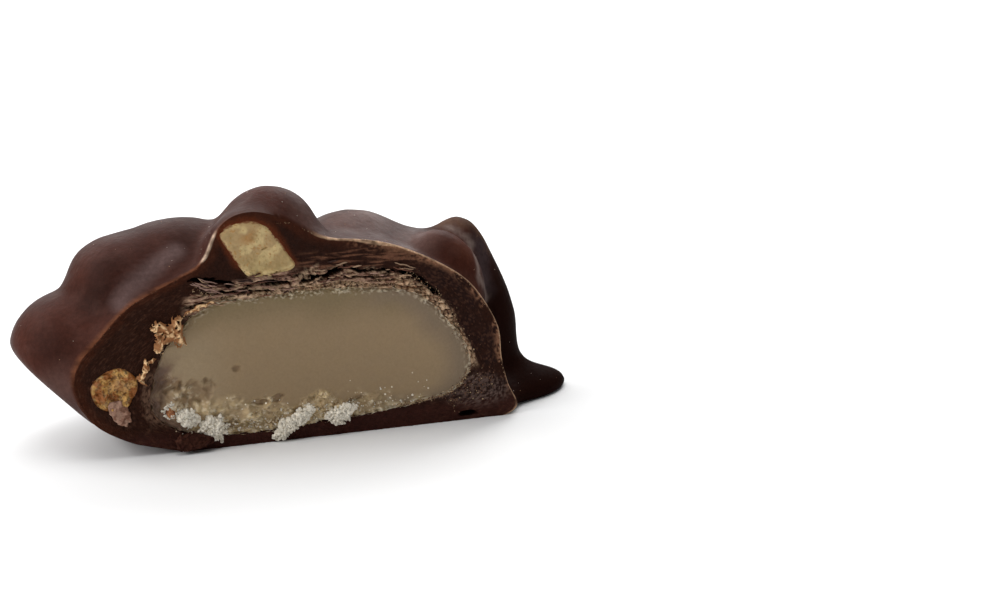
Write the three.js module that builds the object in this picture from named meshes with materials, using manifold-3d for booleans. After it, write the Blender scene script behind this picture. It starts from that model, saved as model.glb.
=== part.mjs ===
// Half of a chocolate nut cluster, cut straight down through its middle.
// A chocolate coat with peanuts under it covers a fondant filling. One split peanut is cut at the top
// of the section, and a smaller piece of nut at its left end. Millimetres, +Z up. While it is made, the
// cut face lies in the plane y = 0 and looks towards -Y, and the coat stands on z = 0. The finished
// group is moved so that its origin is the middle of its foot.
import * as THREE from "three";
import { mergeVertices } from "three/addons/utils/BufferGeometryUtils.js";
import Module from "manifold-3d";

const wasm = await Module();
wasm.setup();

// Fineness of the faceted forms: steps round the section, and rings from the cut to the back.
const coatSteps = { around: 100, rings: 25 };
const creamSteps = { around: 60, rings: 9 };
const nutSteps = { around: 24, rings: 5 };

// The body of the coat: its depth behind the cut, and its mean radius.
const bodyDepth = 24.1;
const bodyScale = 22.8;

// The gap kept between touching pieces, and how far cuts reach out in front of the cut face.
const gap = 0.3;
const cutFront = 2;

// The coat is measured out from this line, which runs straight back from the cut. This share of the
// way to the back is measured square to the line, and the rest round its far end.
const coatMiddle = { x: 1.8, z: 6.4, back: 8.6 };
const coatStraight = 0.26;
const coatReach = 44;
const evenRounds = 2;

// Steps round the section lie closer together towards the drip at the right foot: its direction in
// degrees, the width of that stretch, and how much closer.
const closer = { towards: -9, width: 40, by: 0.68 };

// The underside is flat, with a round edge, and rises in two bends towards the left end of the cut.
const footCut = 0.1;
const footRound = 1.5;
const lifts = [{ from: -12.3, slope: 0.27, round: 2.7 }, { from: -22.3, slope: 0.75, round: 1.6 }];

// The cut section of the body, from the right foot over the top to the left foot, as [x, z].
const bodySection = [
  [25.4, 0], [25.9, 1.5], [24.9, 4.0], [24.1, 7.3], [23.7, 10.9], [21.8, 14.6], [19.2, 17.6], [14.6, 20.4],
  [9.6, 22.4], [3.6, 23.3], [-2.7, 23.3], [-8.2, 22.4], [-13.2, 20.7], [-19.4, 17.2], [-24.3, 12.4],
  [-26.0, 8.8], [-24.6, 4.9], [-20.9, 2.0], [-17.7, 0],
];

// Peanuts under the coat and drips at its foot: centre, half sizes, turn in degrees, and how widely
// chocolate fills the valley that each one makes.
const lobes = [
  { name: "leftLow", at: [-24.0, 8.6, 10.9], size: [7.7, 8.0, 6.9], turn: [0, 0, 0], fill: 2.5 },
  { name: "leftFoot", at: [-20.9, 6.9, 8.6], size: [6.9, 6.4, 7.4], turn: [0, 0, 0], fill: 2.5 },
  { name: "leftMiddle", at: [-19.0, 6.3, 15.3], size: [5.6, 5.6, 4.2], turn: [0, -35, 0], fill: 3.4 },
  { name: "leftHigh", at: [-14.9, 9.2, 19.4], size: [9.3, 7.0, 4.9], turn: [0, -18, 0], fill: 3.0 },
  { name: "leftHighEnd", at: [-19.8, 8.6, 19.1], size: [4.4, 6.4, 3.9], turn: [0, 0, 0], fill: 2.5 },
  { name: "knob", at: [-2.3, 5.3, 22.9], size: [5.8, 5.8, 5.8], turn: [0, 0, 0], fill: 2.9 },
  { name: "knobFront", at: [-6.3, 0.55, 22.9], size: [4.1, 4.0, 4.2], turn: [0, 0, 0], fill: 2.9 },
  { name: "topRight", at: [9.2, 11.4, 18.8], size: [6.8, 5.5, 4.9], turn: [0, 0, 0], fill: 2.9 },
  { name: "topSaddle", at: [16.6, 10.2, 15.8], size: [6.8, 6.8, 5.2], turn: [0, 0, 0], fill: 2.6 },
  { name: "rightHigh", at: [24.1, 12.0, 8.6], size: [5.9, 6.4, 8.9], turn: [0, -10, 0], fill: 2.0 },
  { name: "rightCrest", at: [23.1, 11.2, 14.8], size: [3.9, 4.6, 7.1], turn: [0, -6, 0], fill: 2.4 },
  { name: "rightFront", at: [19.0, 6.2, 14.7], size: [5.0, 4.7, 7.1], turn: [0, -12, 0], fill: 0.8 },
  { name: "tail", at: [30.0, 8.0, 0.0], size: [8.4, 3.9, 3.1], turn: [0, 0, 29], fill: 4.9 },
  { name: "backLeft", at: [-17.3, 17.3, 8.6], size: [7.5, 5.8, 5.5], turn: [0, 20, 30], fill: 2.9 },
  { name: "backLow", at: [-4.5, 23.7, 6.8], size: [7.6, 5.5, 5.6], turn: [0, -15, 0], fill: 2.9 },
  { name: "backRight", at: [11.4, 21.4, 8.2], size: [5.6, 5.8, 7.5], turn: [15, 0, 0], fill: 2.9 },
  { name: "backTop", at: [-5.9, 15.5, 17.3], size: [5.5, 7.3, 4.7], turn: [-25, 0, 20], fill: 2.9 },
  { name: "backTopRight", at: [5.5, 20.0, 15.0], size: [6.8, 4.7, 4.5], turn: [0, 0, -20], fill: 2.9 },
  { name: "rightBack", at: [21.8, 18.2, 5.9], size: [5.5, 5.5, 5.1], turn: [0, 0, 0], fill: 2.9 },
];

// What shows in the cut: outline points [x, z], a middle that sees all of them, the depth, and how far
// the piece leans to the side and up on its way back.
const cream = {
  middle: [1.4, 8.6],
  depth: 17.3,
  lean: [0, 0],
  outline: [
    [20.2, 7.1], [19.0, 10.5], [17.0, 12.8], [15.1, 14.9], [12.1, 16.5], [4.4, 17.4], [-5.2, 17.3],
    [-10.2, 16.9], [-13.5, 15.0], [-16.2, 11.6], [-17.6, 7.6], [-17.2, 4.8], [-13.6, 2.3], [-6.5, 1.5],
    [1.9, 1.9], [10.6, 2.5], [17.2, 3.5], [19.4, 5.0],
  ],
};
const nutTop = {
  middle: [-5.1, 22.8],
  depth: 6.0,
  lean: [3.0, -0.5],
  outline: [
    [-0.9, 20.7], [-1.7, 22.1], [-2.8, 23.8], [-3.9, 25.2], [-5.4, 25.9], [-7.2, 26.0], [-8.5, 25.5],
    [-9.2, 24.8], [-8.9, 24.0], [-8.1, 22.8], [-6.9, 20.9], [-5.6, 19.8], [-2.2, 20.0],
  ],
};
const nutLeft = {
  middle: [-21.7, 8.2],
  depth: 5.5,
  lean: [0, 0],
  outline: [
    [-19.1, 8.2], [-19.3, 9.4], [-20.6, 10.5], [-22.0, 10.6], [-23.7, 9.7], [-24.4, 8.4],
    [-23.8, 6.6], [-22.6, 5.8], [-20.7, 5.7], [-19.7, 6.9],
  ],
};

// Cracks in the flaky layer over the filling: a path [x, z], the width and the depth.
const cracks = [
  { path: [[-13.1, 20.0], [-11.5, 19.9], [-10.0, 19.6], [-7.8, 19.1]], width: 0.46, depth: 1.8 },
  { path: [[-6.7, 18.6], [-4.2, 18.7], [-1.3, 18.5]], width: 0.29, depth: 1.3 },
  { path: [[0.4, 18.8], [2.4, 19.6], [4.4, 20.0], [6.7, 19.7]], width: 0.73, depth: 2.0 },
  { path: [[7.5, 20.0], [9.8, 20.1], [11.8, 19.7], [13.8, 18.3]], width: 0.64, depth: 1.8 },
  { path: [[14.2, 17.8], [15.3, 16.8], [16.7, 15.1]], width: 0.73, depth: 1.5 },
];

// Torn edges of that layer, which stand out of the cut: a path [x, z], the width and the height.
const shardSunk = 0.4;
const shards = [
  { path: [[-12.6, 19.0], [-10.7, 18.7], [-8.6, 18.2], [-6.9, 18.4]], width: 0.46, stand: 0.46 },
  { path: [[-6.2, 19.1], [-3.8, 19.3], [-1.5, 19.1]], width: 0.25, stand: 0.36 },
  { path: [[-0.9, 18.2], [1.6, 18.4], [4.4, 18.9]], width: 0.46, stand: 0.32 },
  { path: [[8.2, 18.7], [10.6, 18.8], [12.7, 18.1]], width: 0.46, stand: 0.32 },
  { path: [[17.1, 14.2], [18.4, 12.6], [19.5, 11.5]], width: 0.46, stand: 0.27 },
];

// Papery curls at the left edge of the filling. Each is an arc that leaves the coat at a foot [x, z],
// and curls out of the cut and over the filling in the direction given in degrees from +X.
const curls = [
  { foot: [-15.9, 14.5], towards: -22, radius: 1.4, length: 2.6, thick: 0.31 },
  { foot: [-18.5, 9.9], towards: 8, radius: 0.82, length: 1.6, thick: 0.31 },
];

// A chip of chocolate that sticks out of the cut at its foot.
const chip = {
  outline: [
    [-14.9, 1.1], [-15.0, 2.1], [-13.8, 1.8], [-12.4, 1.5], [-11.1, 1.1], [-12.6, 0.55], [-14.0, 0.55],
  ],
  stand: 1.4,
  sunk: 0.55,
};

// A small air hole in the chocolate under the filling.
const airHole = { at: [19.9, 0, 0.86], size: [1.1, 1.5, 0.38] };

// Crumbs of fondant pushed out over the lower edge of the cut. Each clump grows from a root grain on
// the filling, and stays within an oval: middle [x, z], half sizes and turn in degrees.
const clumps = [
  { root: [-14.2, 4.5], at: [-13.7, 4.1], half: [1.3, 0.9], turn: -40, grains: 8 },
  { root: [-11.1, 3.4], at: [-10.7, 2.5], half: [1.5, 1.3], turn: -30, grains: 17 },
  { root: [-1.3, 2.5], at: [-1.4, 2.0], half: [2.6, 1.0], turn: 35, grains: 25 },
  { root: [4.9, 3.3], at: [4.5, 2.5], half: [1.7, 0.9], turn: 10, grains: 13 },
];
const grain = { smallest: 0.38, largest: 0.6, root: 0.77, step: 0.62, clear: 0.12, uneven: 0.23 };
const crumbSeed = 8;

// Colours from the object, as sRGB hex.
const chocolateColour = 0x42261f;
const creamColour = 0xa8946f;
const nutColour = 0xcdb27a;

const degrees = Math.PI / 180;

function merged(geometry) {
  const bare = geometry.clone();
  bare.deleteAttribute("normal");
  bare.deleteAttribute("uv");
  return mergeVertices(bare, 1e-5);
}

function solid(geometry) {
  const closed = merged(geometry);
  return new wasm.Manifold(new wasm.Mesh({
    numProp: 3,
    vertProperties: closed.attributes.position.array,
    triVerts: new Uint32Array(closed.index.array),
  }));
}

function geometryOf(made) {
  const { vertProperties, triVerts } = made.getMesh();
  const geometry = new THREE.BufferGeometry();
  geometry.setAttribute("position", new THREE.BufferAttribute(vertProperties, 3));
  geometry.setIndex(new THREE.BufferAttribute(triVerts, 1));
  geometry.computeVertexNormals();
  return geometry;
}

// Outline radius by angle from +X round a middle, from a curve through the outline's points.
function radiusByAngle(outline, middle, closed) {
  const points = outline.map(([x, z]) => new THREE.Vector3(x - middle[0], 0, z - middle[1]));
  const curve = new THREE.CatmullRomCurve3(points, closed, "catmullrom", 0.5);
  const turn = 2 * Math.PI;
  const polar = curve.getPoints(400)
    .map((p) => [(Math.atan2(p.z, p.x) + turn) % turn, Math.hypot(p.x, p.z)])
    .sort((a, b) => a[0] - b[0]);
  return (angle) => {
    const a = (angle + turn) % turn;
    const found = polar.findIndex(([at]) => at >= a);
    const next = found < 0 ? 0 : found;
    const [a1, r1] = polar[next];
    const [a0, r0] = polar[(next + polar.length - 1) % polar.length];
    const span = (a1 - a0 + turn) % turn;
    return span < 1e-9 ? r1 : r0 + ((r1 - r0) * ((a - a0 + turn) % turn)) / span;
  };
}

// A ball with its axis along Y, whose points are placed by their angle round that axis and their way
// from the rim of the cut to the back. The half of it in front of the rim is one flat fan.
function halfForm({ around, rings }, middle, pointAt) {
  const ball = merged(new THREE.SphereGeometry(1, around, rings + 1));
  const points = ball.attributes.position;
  const rimRing = rings / (rings + 1);
  for (let i = 0; i < points.count; i++) {
    const p = new THREE.Vector3().fromBufferAttribute(points, i);
    const ring = Math.acos(THREE.MathUtils.clamp(p.y, -1, 1)) / Math.PI;
    const back = 1 - ring / rimRing;
    const placed = back < -1e-4 ? middle : pointAt(Math.atan2(p.z, p.x), back < 1e-4 ? 0 : back);
    points.setXYZ(i, placed.x, placed.y, placed.z);
  }
  return ball;
}

// The body runs back from its section like half a ball.
const bodyRadius = radiusByAngle(bodySection, [0, 0], false);

function bodyField(p) {
  const across = Math.hypot(p.x, p.z) / bodyRadius(Math.abs(Math.atan2(p.z, p.x)));
  return (Math.hypot(across, p.y / bodyDepth) - 1) * bodyScale;
}

const placedLobes = lobes.map((lobe) => ({
  at: new THREE.Vector3(...lobe.at),
  size: new THREE.Vector3(...lobe.size),
  fill: lobe.fill,
  back: new THREE.Quaternion()
    .setFromEuler(new THREE.Euler(...lobe.turn.map((t) => t * degrees)))
    .invert(),
}));

function lobeField(p, lobe) {
  const q = p.clone().sub(lobe.at).applyQuaternion(lobe.back).divide(lobe.size);
  const near = q.length();
  const steep = q.divide(lobe.size).length();
  return steep < 1e-9 ? -lobe.size.x : (near * (near - 1)) / steep;
}

function smoothMin(a, b, fill) {
  const h = Math.max(fill - Math.abs(a - b), 0) / fill;
  return Math.min(a, b) - (h * h * fill) / 4;
}

function footLevel(x) {
  return lifts.reduce((level, { from, slope, round }) => {
    const past = Math.max(from - x, 0);
    return level + slope * (past < round ? (past * past) / (2 * round) : past - round / 2);
  }, 0);
}

function coatField(p) {
  const joined = placedLobes.reduce((f, lobe) => smoothMin(f, lobeField(p, lobe), lobe.fill), bodyField(p));
  return -smoothMin(-joined, p.z - footLevel(p.x), footRound);
}

// Distance from a start to the surface of a field along a direction, searched from outside in.
function surfaceAt(field, start, direction, far) {
  const step = 0.4;
  let out = far;
  const at = (t) => field(start.clone().addScaledVector(direction, t));
  while (out > step && at(out - step) > 0) out -= step;
  let inner = out - step;
  for (let i = 0; i < 24; i++) {
    const half = (inner + out) / 2;
    if (at(half) > 0) out = half;
    else inner = half;
  }
  return out;
}

function closeStep(angle) {
  const away = angle - closer.towards * degrees;
  const from = Math.atan2(Math.sin(away), Math.cos(away));
  return angle - closer.by * from * Math.exp(-((from / (closer.width * degrees)) ** 2));
}

// A point of the coat, by its step round the middle line and its way to the back, from 0 to 1.
function coatPoint(step, back) {
  const angle = closeStep(step);
  const along = Math.min(back / coatStraight, 1);
  const round = Math.max((back - coatStraight) / (1 - coatStraight), 0) * 90 * degrees;
  const start = new THREE.Vector3(coatMiddle.x, coatMiddle.back * along, coatMiddle.z);
  const direction = new THREE.Vector3(
    Math.cos(angle) * Math.cos(round), Math.sin(round), Math.sin(angle) * Math.cos(round),
  );
  const reach = surfaceAt(coatField, start, direction, coatReach);
  return start.addScaledVector(direction, reach);
}

// The points next to each point of a mesh.
function neighboursOf(geometry) {
  const near = Array.from({ length: geometry.attributes.position.count }, () => new Set());
  const { array } = geometry.index;
  for (let i = 0; i < array.length; i += 3) {
    const corners = [array[i], array[i + 1], array[i + 2]];
    corners.forEach((corner) => corners.forEach((other) => other !== corner && near[corner].add(other)));
  }
  return near.map((set) => [...set]);
}

// Moves a point onto the surface of a field, within the cut plane if it is on the rim.
function settle(field, point, onRim) {
  const h = 0.01;
  for (let i = 0; i < 3; i++) {
    const value = field(point);
    const slope = ["x", "y", "z"].map((axis) => {
      if (axis === "y" && onRim) return 0;
      const beside = point.clone();
      beside[axis] += h;
      return (field(beside) - value) / h;
    });
    const steep = slope[0] ** 2 + slope[1] ** 2 + slope[2] ** 2;
    point.addScaledVector(new THREE.Vector3(...slope), -value / Math.max(steep, 0.05));
  }
  return point;
}

// Spreads the points of a half form evenly over the surface of its field.
function evened(geometry, field, middle) {
  const points = geometry.attributes.position;
  const near = neighboursOf(geometry);
  let places = near.map((_, i) => new THREE.Vector3().fromBufferAttribute(points, i));
  const centre = places.findIndex((p) => p.distanceTo(middle) < 1e-6);
  const onRim = places.map((p, i) => i !== centre && Math.abs(p.y) < 1e-6);
  for (let round = 0; round < evenRounds; round++) {
    places = places.map((place, i) => {
      if (i === centre) return place;
      const beside = onRim[i] ? near[i].filter((n) => onRim[n]) : near[i];
      const mean = new THREE.Vector3();
      beside.forEach((n) => mean.addScaledVector(places[n], 1 / beside.length));
      return settle(field, mean, onRim[i]);
    });
  }
  places.forEach((place, i) => points.setXYZ(i, place.x, place.y, place.z));
  return geometry;
}

// A filling or a nut: the outline in the cut, which closes in towards the back. With room added all
// round, it is the hollow for that piece.
function filled(piece, steps, room = 0) {
  const radius = radiusByAngle(piece.outline, piece.middle, true);
  const [x, z] = piece.middle;
  return solid(halfForm(steps, new THREE.Vector3(x, 0, z), (angle, back) => {
    const across = (radius(angle) + room) * Math.cos(back * 90 * degrees);
    const y = (piece.depth + room) * Math.sin(back * 90 * degrees);
    const at = [x + (piece.lean[0] * y) / piece.depth, z + (piece.lean[1] * y) / piece.depth];
    return new THREE.Vector3(at[0] + across * Math.cos(angle), y, at[1] + across * Math.sin(angle));
  }));
}

// Extrudes an outline [x, z] between two depths.
function slab(outline, from, to) {
  const shape = new THREE.Shape(outline.map(([x, z]) => new THREE.Vector2(x, z)));
  const made = new THREE.ExtrudeGeometry(shape, { depth: to - from, bevelEnabled: false });
  return solid(made.rotateX(90 * degrees).translate(0, to, 0));
}

// The outline of a thin strip along a path, widest in its middle and narrow at its ends.
function strip(path, width) {
  const curve = new THREE.CatmullRomCurve3(path.map(([x, z]) => new THREE.Vector3(x, 0, z)));
  const steps = 3 * (path.length - 1);
  const side = (sign) => Array.from({ length: steps + 1 }, (_, i) => {
    const t = i / steps;
    const at = curve.getPoint(t);
    const way = curve.getTangent(t);
    const half = sign * (width / 2) * (0.15 + 0.85 * Math.sin(Math.PI * t)) * (i % 2 ? 1 : 0.75);
    return [at.x - way.z * half, at.z + way.x * half];
  });
  return [...side(1), ...side(-1).reverse()];
}

// An arc band over its foot: one end is sunk in the coat, the other hangs clear over the filling.
function curl({ foot, towards, radius, length, thick }) {
  const [start, end] = [205 * degrees, 35 * degrees];
  const band = new THREE.Shape();
  band.absarc(radius - thick / 2, 0, radius, start, end, true);
  band.absarc(radius - thick / 2, 0, radius - thick, end, start, false);
  const made = new THREE.ExtrudeGeometry(band, { depth: length, bevelEnabled: false, curveSegments: 8 });
  const [across, up] = [Math.cos(towards * degrees), Math.sin(towards * degrees)];
  const place = new THREE.Matrix4().makeBasis(
    new THREE.Vector3(across, 0, up), new THREE.Vector3(0, -1, 0), new THREE.Vector3(up, 0, -across),
  );
  return solid(made.translate(0, 0, -length / 2).applyMatrix4(place).translate(foot[0], 0, foot[1]));
}

function randomFrom(seed) {
  let state = seed;
  return () => {
    state = (state * 16807) % 2147483647;
    return state / 2147483647;
  };
}

function grainAt({ x, y, z, size }, random) {
  const turn = new THREE.Euler(random() * 3, random() * 3, random() * 3);
  const rotated = new THREE.Matrix4().makeRotationFromEuler(turn);
  return solid(new THREE.IcosahedronGeometry(size, 0).applyMatrix4(rotated).translate(x, y, z));
}

// A clump of grains: each is set against an earlier one, in front of the cut, inside the oval.
function crumbClump({ root, at, half, turn, grains }, random) {
  const placed = [{ x: root[0], y: -0.3 * grain.root, z: root[1], size: grain.root }];
  const [along, up] = [Math.cos(turn * degrees), Math.sin(turn * degrees)];
  while (placed.length <= grains) {
    const next = placed[Math.floor(random() * placed.length)];
    const size = grain.largest - (grain.largest - grain.smallest) * random();
    const way = 2 * Math.PI * random();
    const step = grain.step * (next.size + size);
    const x = next.x + step * Math.cos(way);
    const z = next.z + step * Math.sin(way);
    const y = -size - grain.clear - grain.uneven * random();
    const [dx, dz] = [x - at[0], z - at[1]];
    const inside = Math.hypot((dx * along + dz * up) / half[0], (dz * along - dx * up) / half[1]) < 1;
    if (inside) placed.push({ x, y, z, size });
  }
  return placed.map((one) => grainAt(one, random));
}

function makeCoat() {
  const middle = new THREE.Vector3(coatMiddle.x, 0, coatMiddle.z);
  const side = 3 * coatReach;
  const above = new THREE.BoxGeometry(side, side, side).translate(0, 0, side / 2 + footCut);
  const hole = new THREE.SphereGeometry(1, 12, 8).scale(...airHole.size).translate(...airHole.at);
  const hollows = [
    filled(cream, creamSteps, gap), filled(nutTop, nutSteps, gap), filled(nutLeft, nutSteps, gap),
    solid(hole), ...cracks.map((crack) => slab(strip(crack.path, crack.width), -cutFront, crack.depth)),
  ];
  const raised = [
    slab(chip.outline, -chip.stand, chip.sunk), ...curls.map(curl),
    ...shards.map((shard) => slab(strip(shard.path, shard.width), -shard.stand, shardSunk)),
  ];
  const skin = evened(halfForm(coatSteps, middle, coatPoint), coatField, middle);
  const whole = solid(skin).intersect(solid(above));
  const hollowed = hollows.reduce((made, hollow) => made.subtract(hollow), whole);
  return raised.reduce((made, piece) => made.add(piece), hollowed);
}

function makeCream() {
  const random = randomFrom(crumbSeed);
  const grains = clumps.flatMap((clump) => crumbClump(clump, random));
  return grains.reduce((made, one) => made.add(one), filled(cream, creamSteps));
}

function mesh(name, made, colour, roughness) {
  const material = new THREE.MeshStandardMaterial({ color: colour, roughness, metalness: 0 });
  const result = new THREE.Mesh(geometryOf(made), material);
  result.name = name;
  return result;
}

const cluster = new THREE.Group();
cluster.add(
  mesh("chocolate_coat", makeCoat(), chocolateColour, 0.35),
  mesh("cream_filling", makeCream(), creamColour, 0.6),
  mesh("nut_top", filled(nutTop, nutSteps), nutColour, 0.55),
  mesh("nut_left", filled(nutLeft, nutSteps), nutColour, 0.55),
);
const box = new THREE.Box3().setFromObject(cluster);
const centre = box.getCenter(new THREE.Vector3());
cluster.position.set(-centre.x, -centre.y, -box.min.z);
export default cluster;
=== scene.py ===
# Looks for half of a filled chocolate nut cluster, cut straight down through its middle.
# Shapes are made in millimetres on the cut's own axes: x along the cut, y back from it, z up from
# the foot. Just before a mesh is filled, inFrame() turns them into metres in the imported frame.
import math
import random

import bmesh
import bpy
import numpy as np
from mathutils import Euler, Matrix, Vector, noise


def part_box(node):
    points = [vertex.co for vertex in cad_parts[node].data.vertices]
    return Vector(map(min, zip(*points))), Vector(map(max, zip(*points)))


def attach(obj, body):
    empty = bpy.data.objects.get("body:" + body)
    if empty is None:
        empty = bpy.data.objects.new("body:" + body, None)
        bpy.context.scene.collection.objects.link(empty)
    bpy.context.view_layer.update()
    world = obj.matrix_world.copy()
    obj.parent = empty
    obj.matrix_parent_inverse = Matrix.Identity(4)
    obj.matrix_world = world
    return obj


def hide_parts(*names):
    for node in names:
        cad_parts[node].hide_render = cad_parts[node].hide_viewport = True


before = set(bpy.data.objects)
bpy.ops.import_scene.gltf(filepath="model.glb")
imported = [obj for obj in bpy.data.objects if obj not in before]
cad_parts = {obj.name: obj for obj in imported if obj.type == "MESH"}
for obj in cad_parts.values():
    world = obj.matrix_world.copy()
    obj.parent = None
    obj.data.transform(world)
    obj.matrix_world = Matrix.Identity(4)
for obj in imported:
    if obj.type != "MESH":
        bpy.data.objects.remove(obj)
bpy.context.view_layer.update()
random.seed(52)
noise.seed_set(52)  # noise_vector() would differ at each run without it
turn = 2 * math.pi

# The left nut's lowest x on the cut's axes ties them to the frame, and so do the cut and the foot.
nutLeftLow = -24.39
footCut = 0.1
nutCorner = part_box("nut_left")[0]
cutOrigin = np.array([
    nutCorner[0] * 1000 - nutLeftLow,
    nutCorner[1] * 1000,
    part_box("chocolate_coat")[0][2] * 1000 - footCut,
])
print("frame loaded, cut origin in mm:", cutOrigin.round(3))


def inFrame(points):
    return (np.asarray(points, float) + cutOrigin) * 0.001


def ease(low, high, value):
    t = np.clip((value - low) / (high - low), 0, 1)
    return t * t * (3 - 2 * t)


def blend(base, other, share):
    return base + (np.asarray(other) - base) * np.clip(share, 0, 1)[..., None]


def linear(red, green, blue):
    part = np.array([red, green, blue]) / 255
    return np.where(part <= 0.04045, part / 12.92, ((part + 0.055) / 1.055) ** 2.4)


lightOnCut = 0.64  # the share of a colour that shows in the cut, in the studio's light
lightest = 0.85  # no surface is made lighter than this


# The colour to give a surface in the cut so that it shows as the one named.
def shown(red, green, blue):
    colour = linear(red, green, blue) / lightOnCut
    return colour * min(1, lightest / colour.max())


fractal = {"fade": 0.9, "finer": 2.0}  # how fast the finer noise fades, and how much finer each octave is
noisePlane = 3.7  # the depth at which noise is read for the flat of the cut


def noiseAt(points, scale, octaves=1, offset=0.0):
    grid = np.asarray(points, float) * np.asarray(scale, float) + offset
    flat = grid.reshape(-1, 3)
    if octaves == 1:
        values = [noise.noise(p) for p in flat]
    else:
        values = [noise.fractal(p, fractal["fade"], fractal["finer"], octaves) for p in flat]
    return np.array(values).reshape(grid.shape[:-1])


# Noise over the flat of the cut. Its kind is a scale along x, a scale along z, octaves and an offset.
def flatNoise(x, z, kind):
    scaleX, scaleZ, octaves, offset = kind
    points = np.stack([x * scaleX, np.full_like(x, noisePlane), z * scaleZ], -1)
    return noiseAt(points, 1.0, octaves, offset)


# Cells of a crumbly mass: how far each point is from its cell's border, and a value from 0 to 1 that
# the whole cell shares.
def cellsAt(x, z, size, offset=0.0):
    points = np.stack([x / size, np.full_like(x, offset), z / size], -1).reshape(-1, 3)
    found = [noise.voronoi(p) for p in points]
    inside = np.array([far[1] - far[0] for far, _ in found]).reshape(x.shape)
    own = np.array([noise.cell(at[0] * 9.7) for _, at in found]).reshape(x.shape)
    return inside, (own + 1) / 2


# Radius by angle of a smooth curve through an outline's points [x, z], seen from a middle.
def radiusByAngle(outline, middle=(0, 0), closed=True, samples=401):
    points = np.array(outline, float) - np.array(middle)
    count = len(points)
    if closed:
        ends = np.concatenate([points[-1:], points, points[:2]])
        spans = count
    else:
        ends = np.concatenate([2 * points[:1] - points[1:2], points, 2 * points[-1:] - points[-2:-1]])
        spans = count - 1
    t = np.linspace(0, spans, samples)
    i = np.minimum(t.astype(int), spans - 1)
    f = (t - i)[:, None]
    a, b, c, d = ends[i], ends[i + 1], ends[i + 2], ends[i + 3]
    curve = 0.5 * (
        2 * b + (c - a) * f + (2 * a - 5 * b + 4 * c - d) * f**2 + (3 * b - a - 3 * c + d) * f**3
    )
    angles = np.arctan2(curve[:, 1], curve[:, 0])
    radii = np.hypot(curve[:, 0], curve[:, 1])
    return lambda angle: np.interp(angle, angles, radii, period=turn)


# Distance from points to a line of straight pieces, flat or in space.
def distanceToLine(points, line):
    best = np.full(points.shape[:-1], np.inf)
    for a, b in zip(np.array(line[:-1]), np.array(line[1:])):
        way = b - a
        t = np.clip((points - a) @ way / (way @ way), 0, 1)[..., None]
        best = np.minimum(best, np.linalg.norm(points - a - t * way, axis=-1))
    return best


# Distance from an oval's middle: 1 is on its edge.
def inOval(x, z, at, half, lean=0.0):
    c, s = math.cos(math.radians(lean)), math.sin(math.radians(lean))
    dx, dz = x - at[0], z - at[1]
    return np.hypot((dx * c + dz * s) / half[0], (dz * c - dx * s) / half[1])


# The coat's outside: the body runs back from its section, and peanuts and drips join it.
body = {
    "depth": 24.1,
    "scale": 22.8,
    "section": [
        (25.4, 0), (25.9, 1.5), (24.9, 4.0), (24.1, 7.3), (23.7, 10.9), (21.8, 14.6), (19.2, 17.6),
        (14.6, 20.4), (9.6, 22.4), (3.6, 23.3), (-2.7, 23.3), (-8.2, 22.4), (-13.2, 20.7),
        (-19.4, 17.2), (-24.3, 12.4), (-26.0, 8.8), (-24.6, 4.9), (-20.9, 2.0), (-17.7, 0),
    ],
}
lobes = {  # middle, half sizes, turn in degrees, fill of the valley round it
    "leftLow": ((-24.0, 8.6, 10.9), (7.7, 8.0, 6.9), (0, 0, 0), 2.5),
    "leftFoot": ((-20.9, 6.9, 8.6), (6.9, 6.4, 7.4), (0, 0, 0), 2.5),
    "leftMiddle": ((-19.0, 6.3, 15.3), (5.6, 5.6, 4.2), (0, -35, 0), 3.4),
    "leftHigh": ((-14.9, 9.2, 19.4), (9.3, 7.0, 4.9), (0, -18, 0), 3.0),
    "leftHighEnd": ((-19.8, 8.6, 19.1), (4.4, 6.4, 3.9), (0, 0, 0), 2.5),
    "knob": ((-2.3, 5.3, 22.9), (5.8, 5.8, 5.8), (0, 0, 0), 2.9),
    "knobFront": ((-6.3, 0.55, 22.9), (4.1, 4.0, 4.2), (0, 0, 0), 2.9),
    "topRight": ((9.2, 11.4, 18.8), (6.8, 5.5, 4.9), (0, 0, 0), 2.9),
    "topSaddle": ((16.6, 10.2, 15.8), (6.8, 6.8, 5.2), (0, 0, 0), 2.6),
    "rightHigh": ((24.1, 12.0, 8.6), (5.9, 6.4, 8.9), (0, -10, 0), 2.0),
    "rightCrest": ((23.1, 11.2, 14.8), (3.9, 4.6, 7.1), (0, -6, 0), 2.4),
    "rightFront": ((19.0, 6.2, 14.7), (5.0, 4.7, 7.1), (0, -12, 0), 0.8),
    "tail": ((30.0, 8.0, 0.0), (6.9, 3.9, 3.1), (0, 0, 29), 4.9),
    "backLeft": ((-17.3, 17.3, 8.6), (7.5, 5.8, 5.5), (0, 20, 30), 2.9),
    "backLow": ((-4.5, 23.7, 6.8), (7.6, 5.5, 5.6), (0, -15, 0), 2.9),
    "backRight": ((11.4, 21.4, 8.2), (5.6, 5.8, 7.5), (15, 0, 0), 2.9),
    "backTop": ((-5.9, 15.5, 17.3), (5.5, 7.3, 4.7), (-25, 0, 20), 2.9),
    "backTopRight": ((5.5, 20.0, 15.0), (6.8, 4.7, 4.5), (0, 0, -20), 2.9),
    "rightBack": ((21.8, 18.2, 5.9), (5.5, 5.5, 5.1), (0, 0, 0), 2.9),
}
foot = {
    "cut": footCut,
    "round": 1.5,
    "lifts": [(-12.3, 0.27, 2.7), (-22.3, 0.75, 1.6)],  # x where the underside rises, slope, rounding
}

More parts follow.
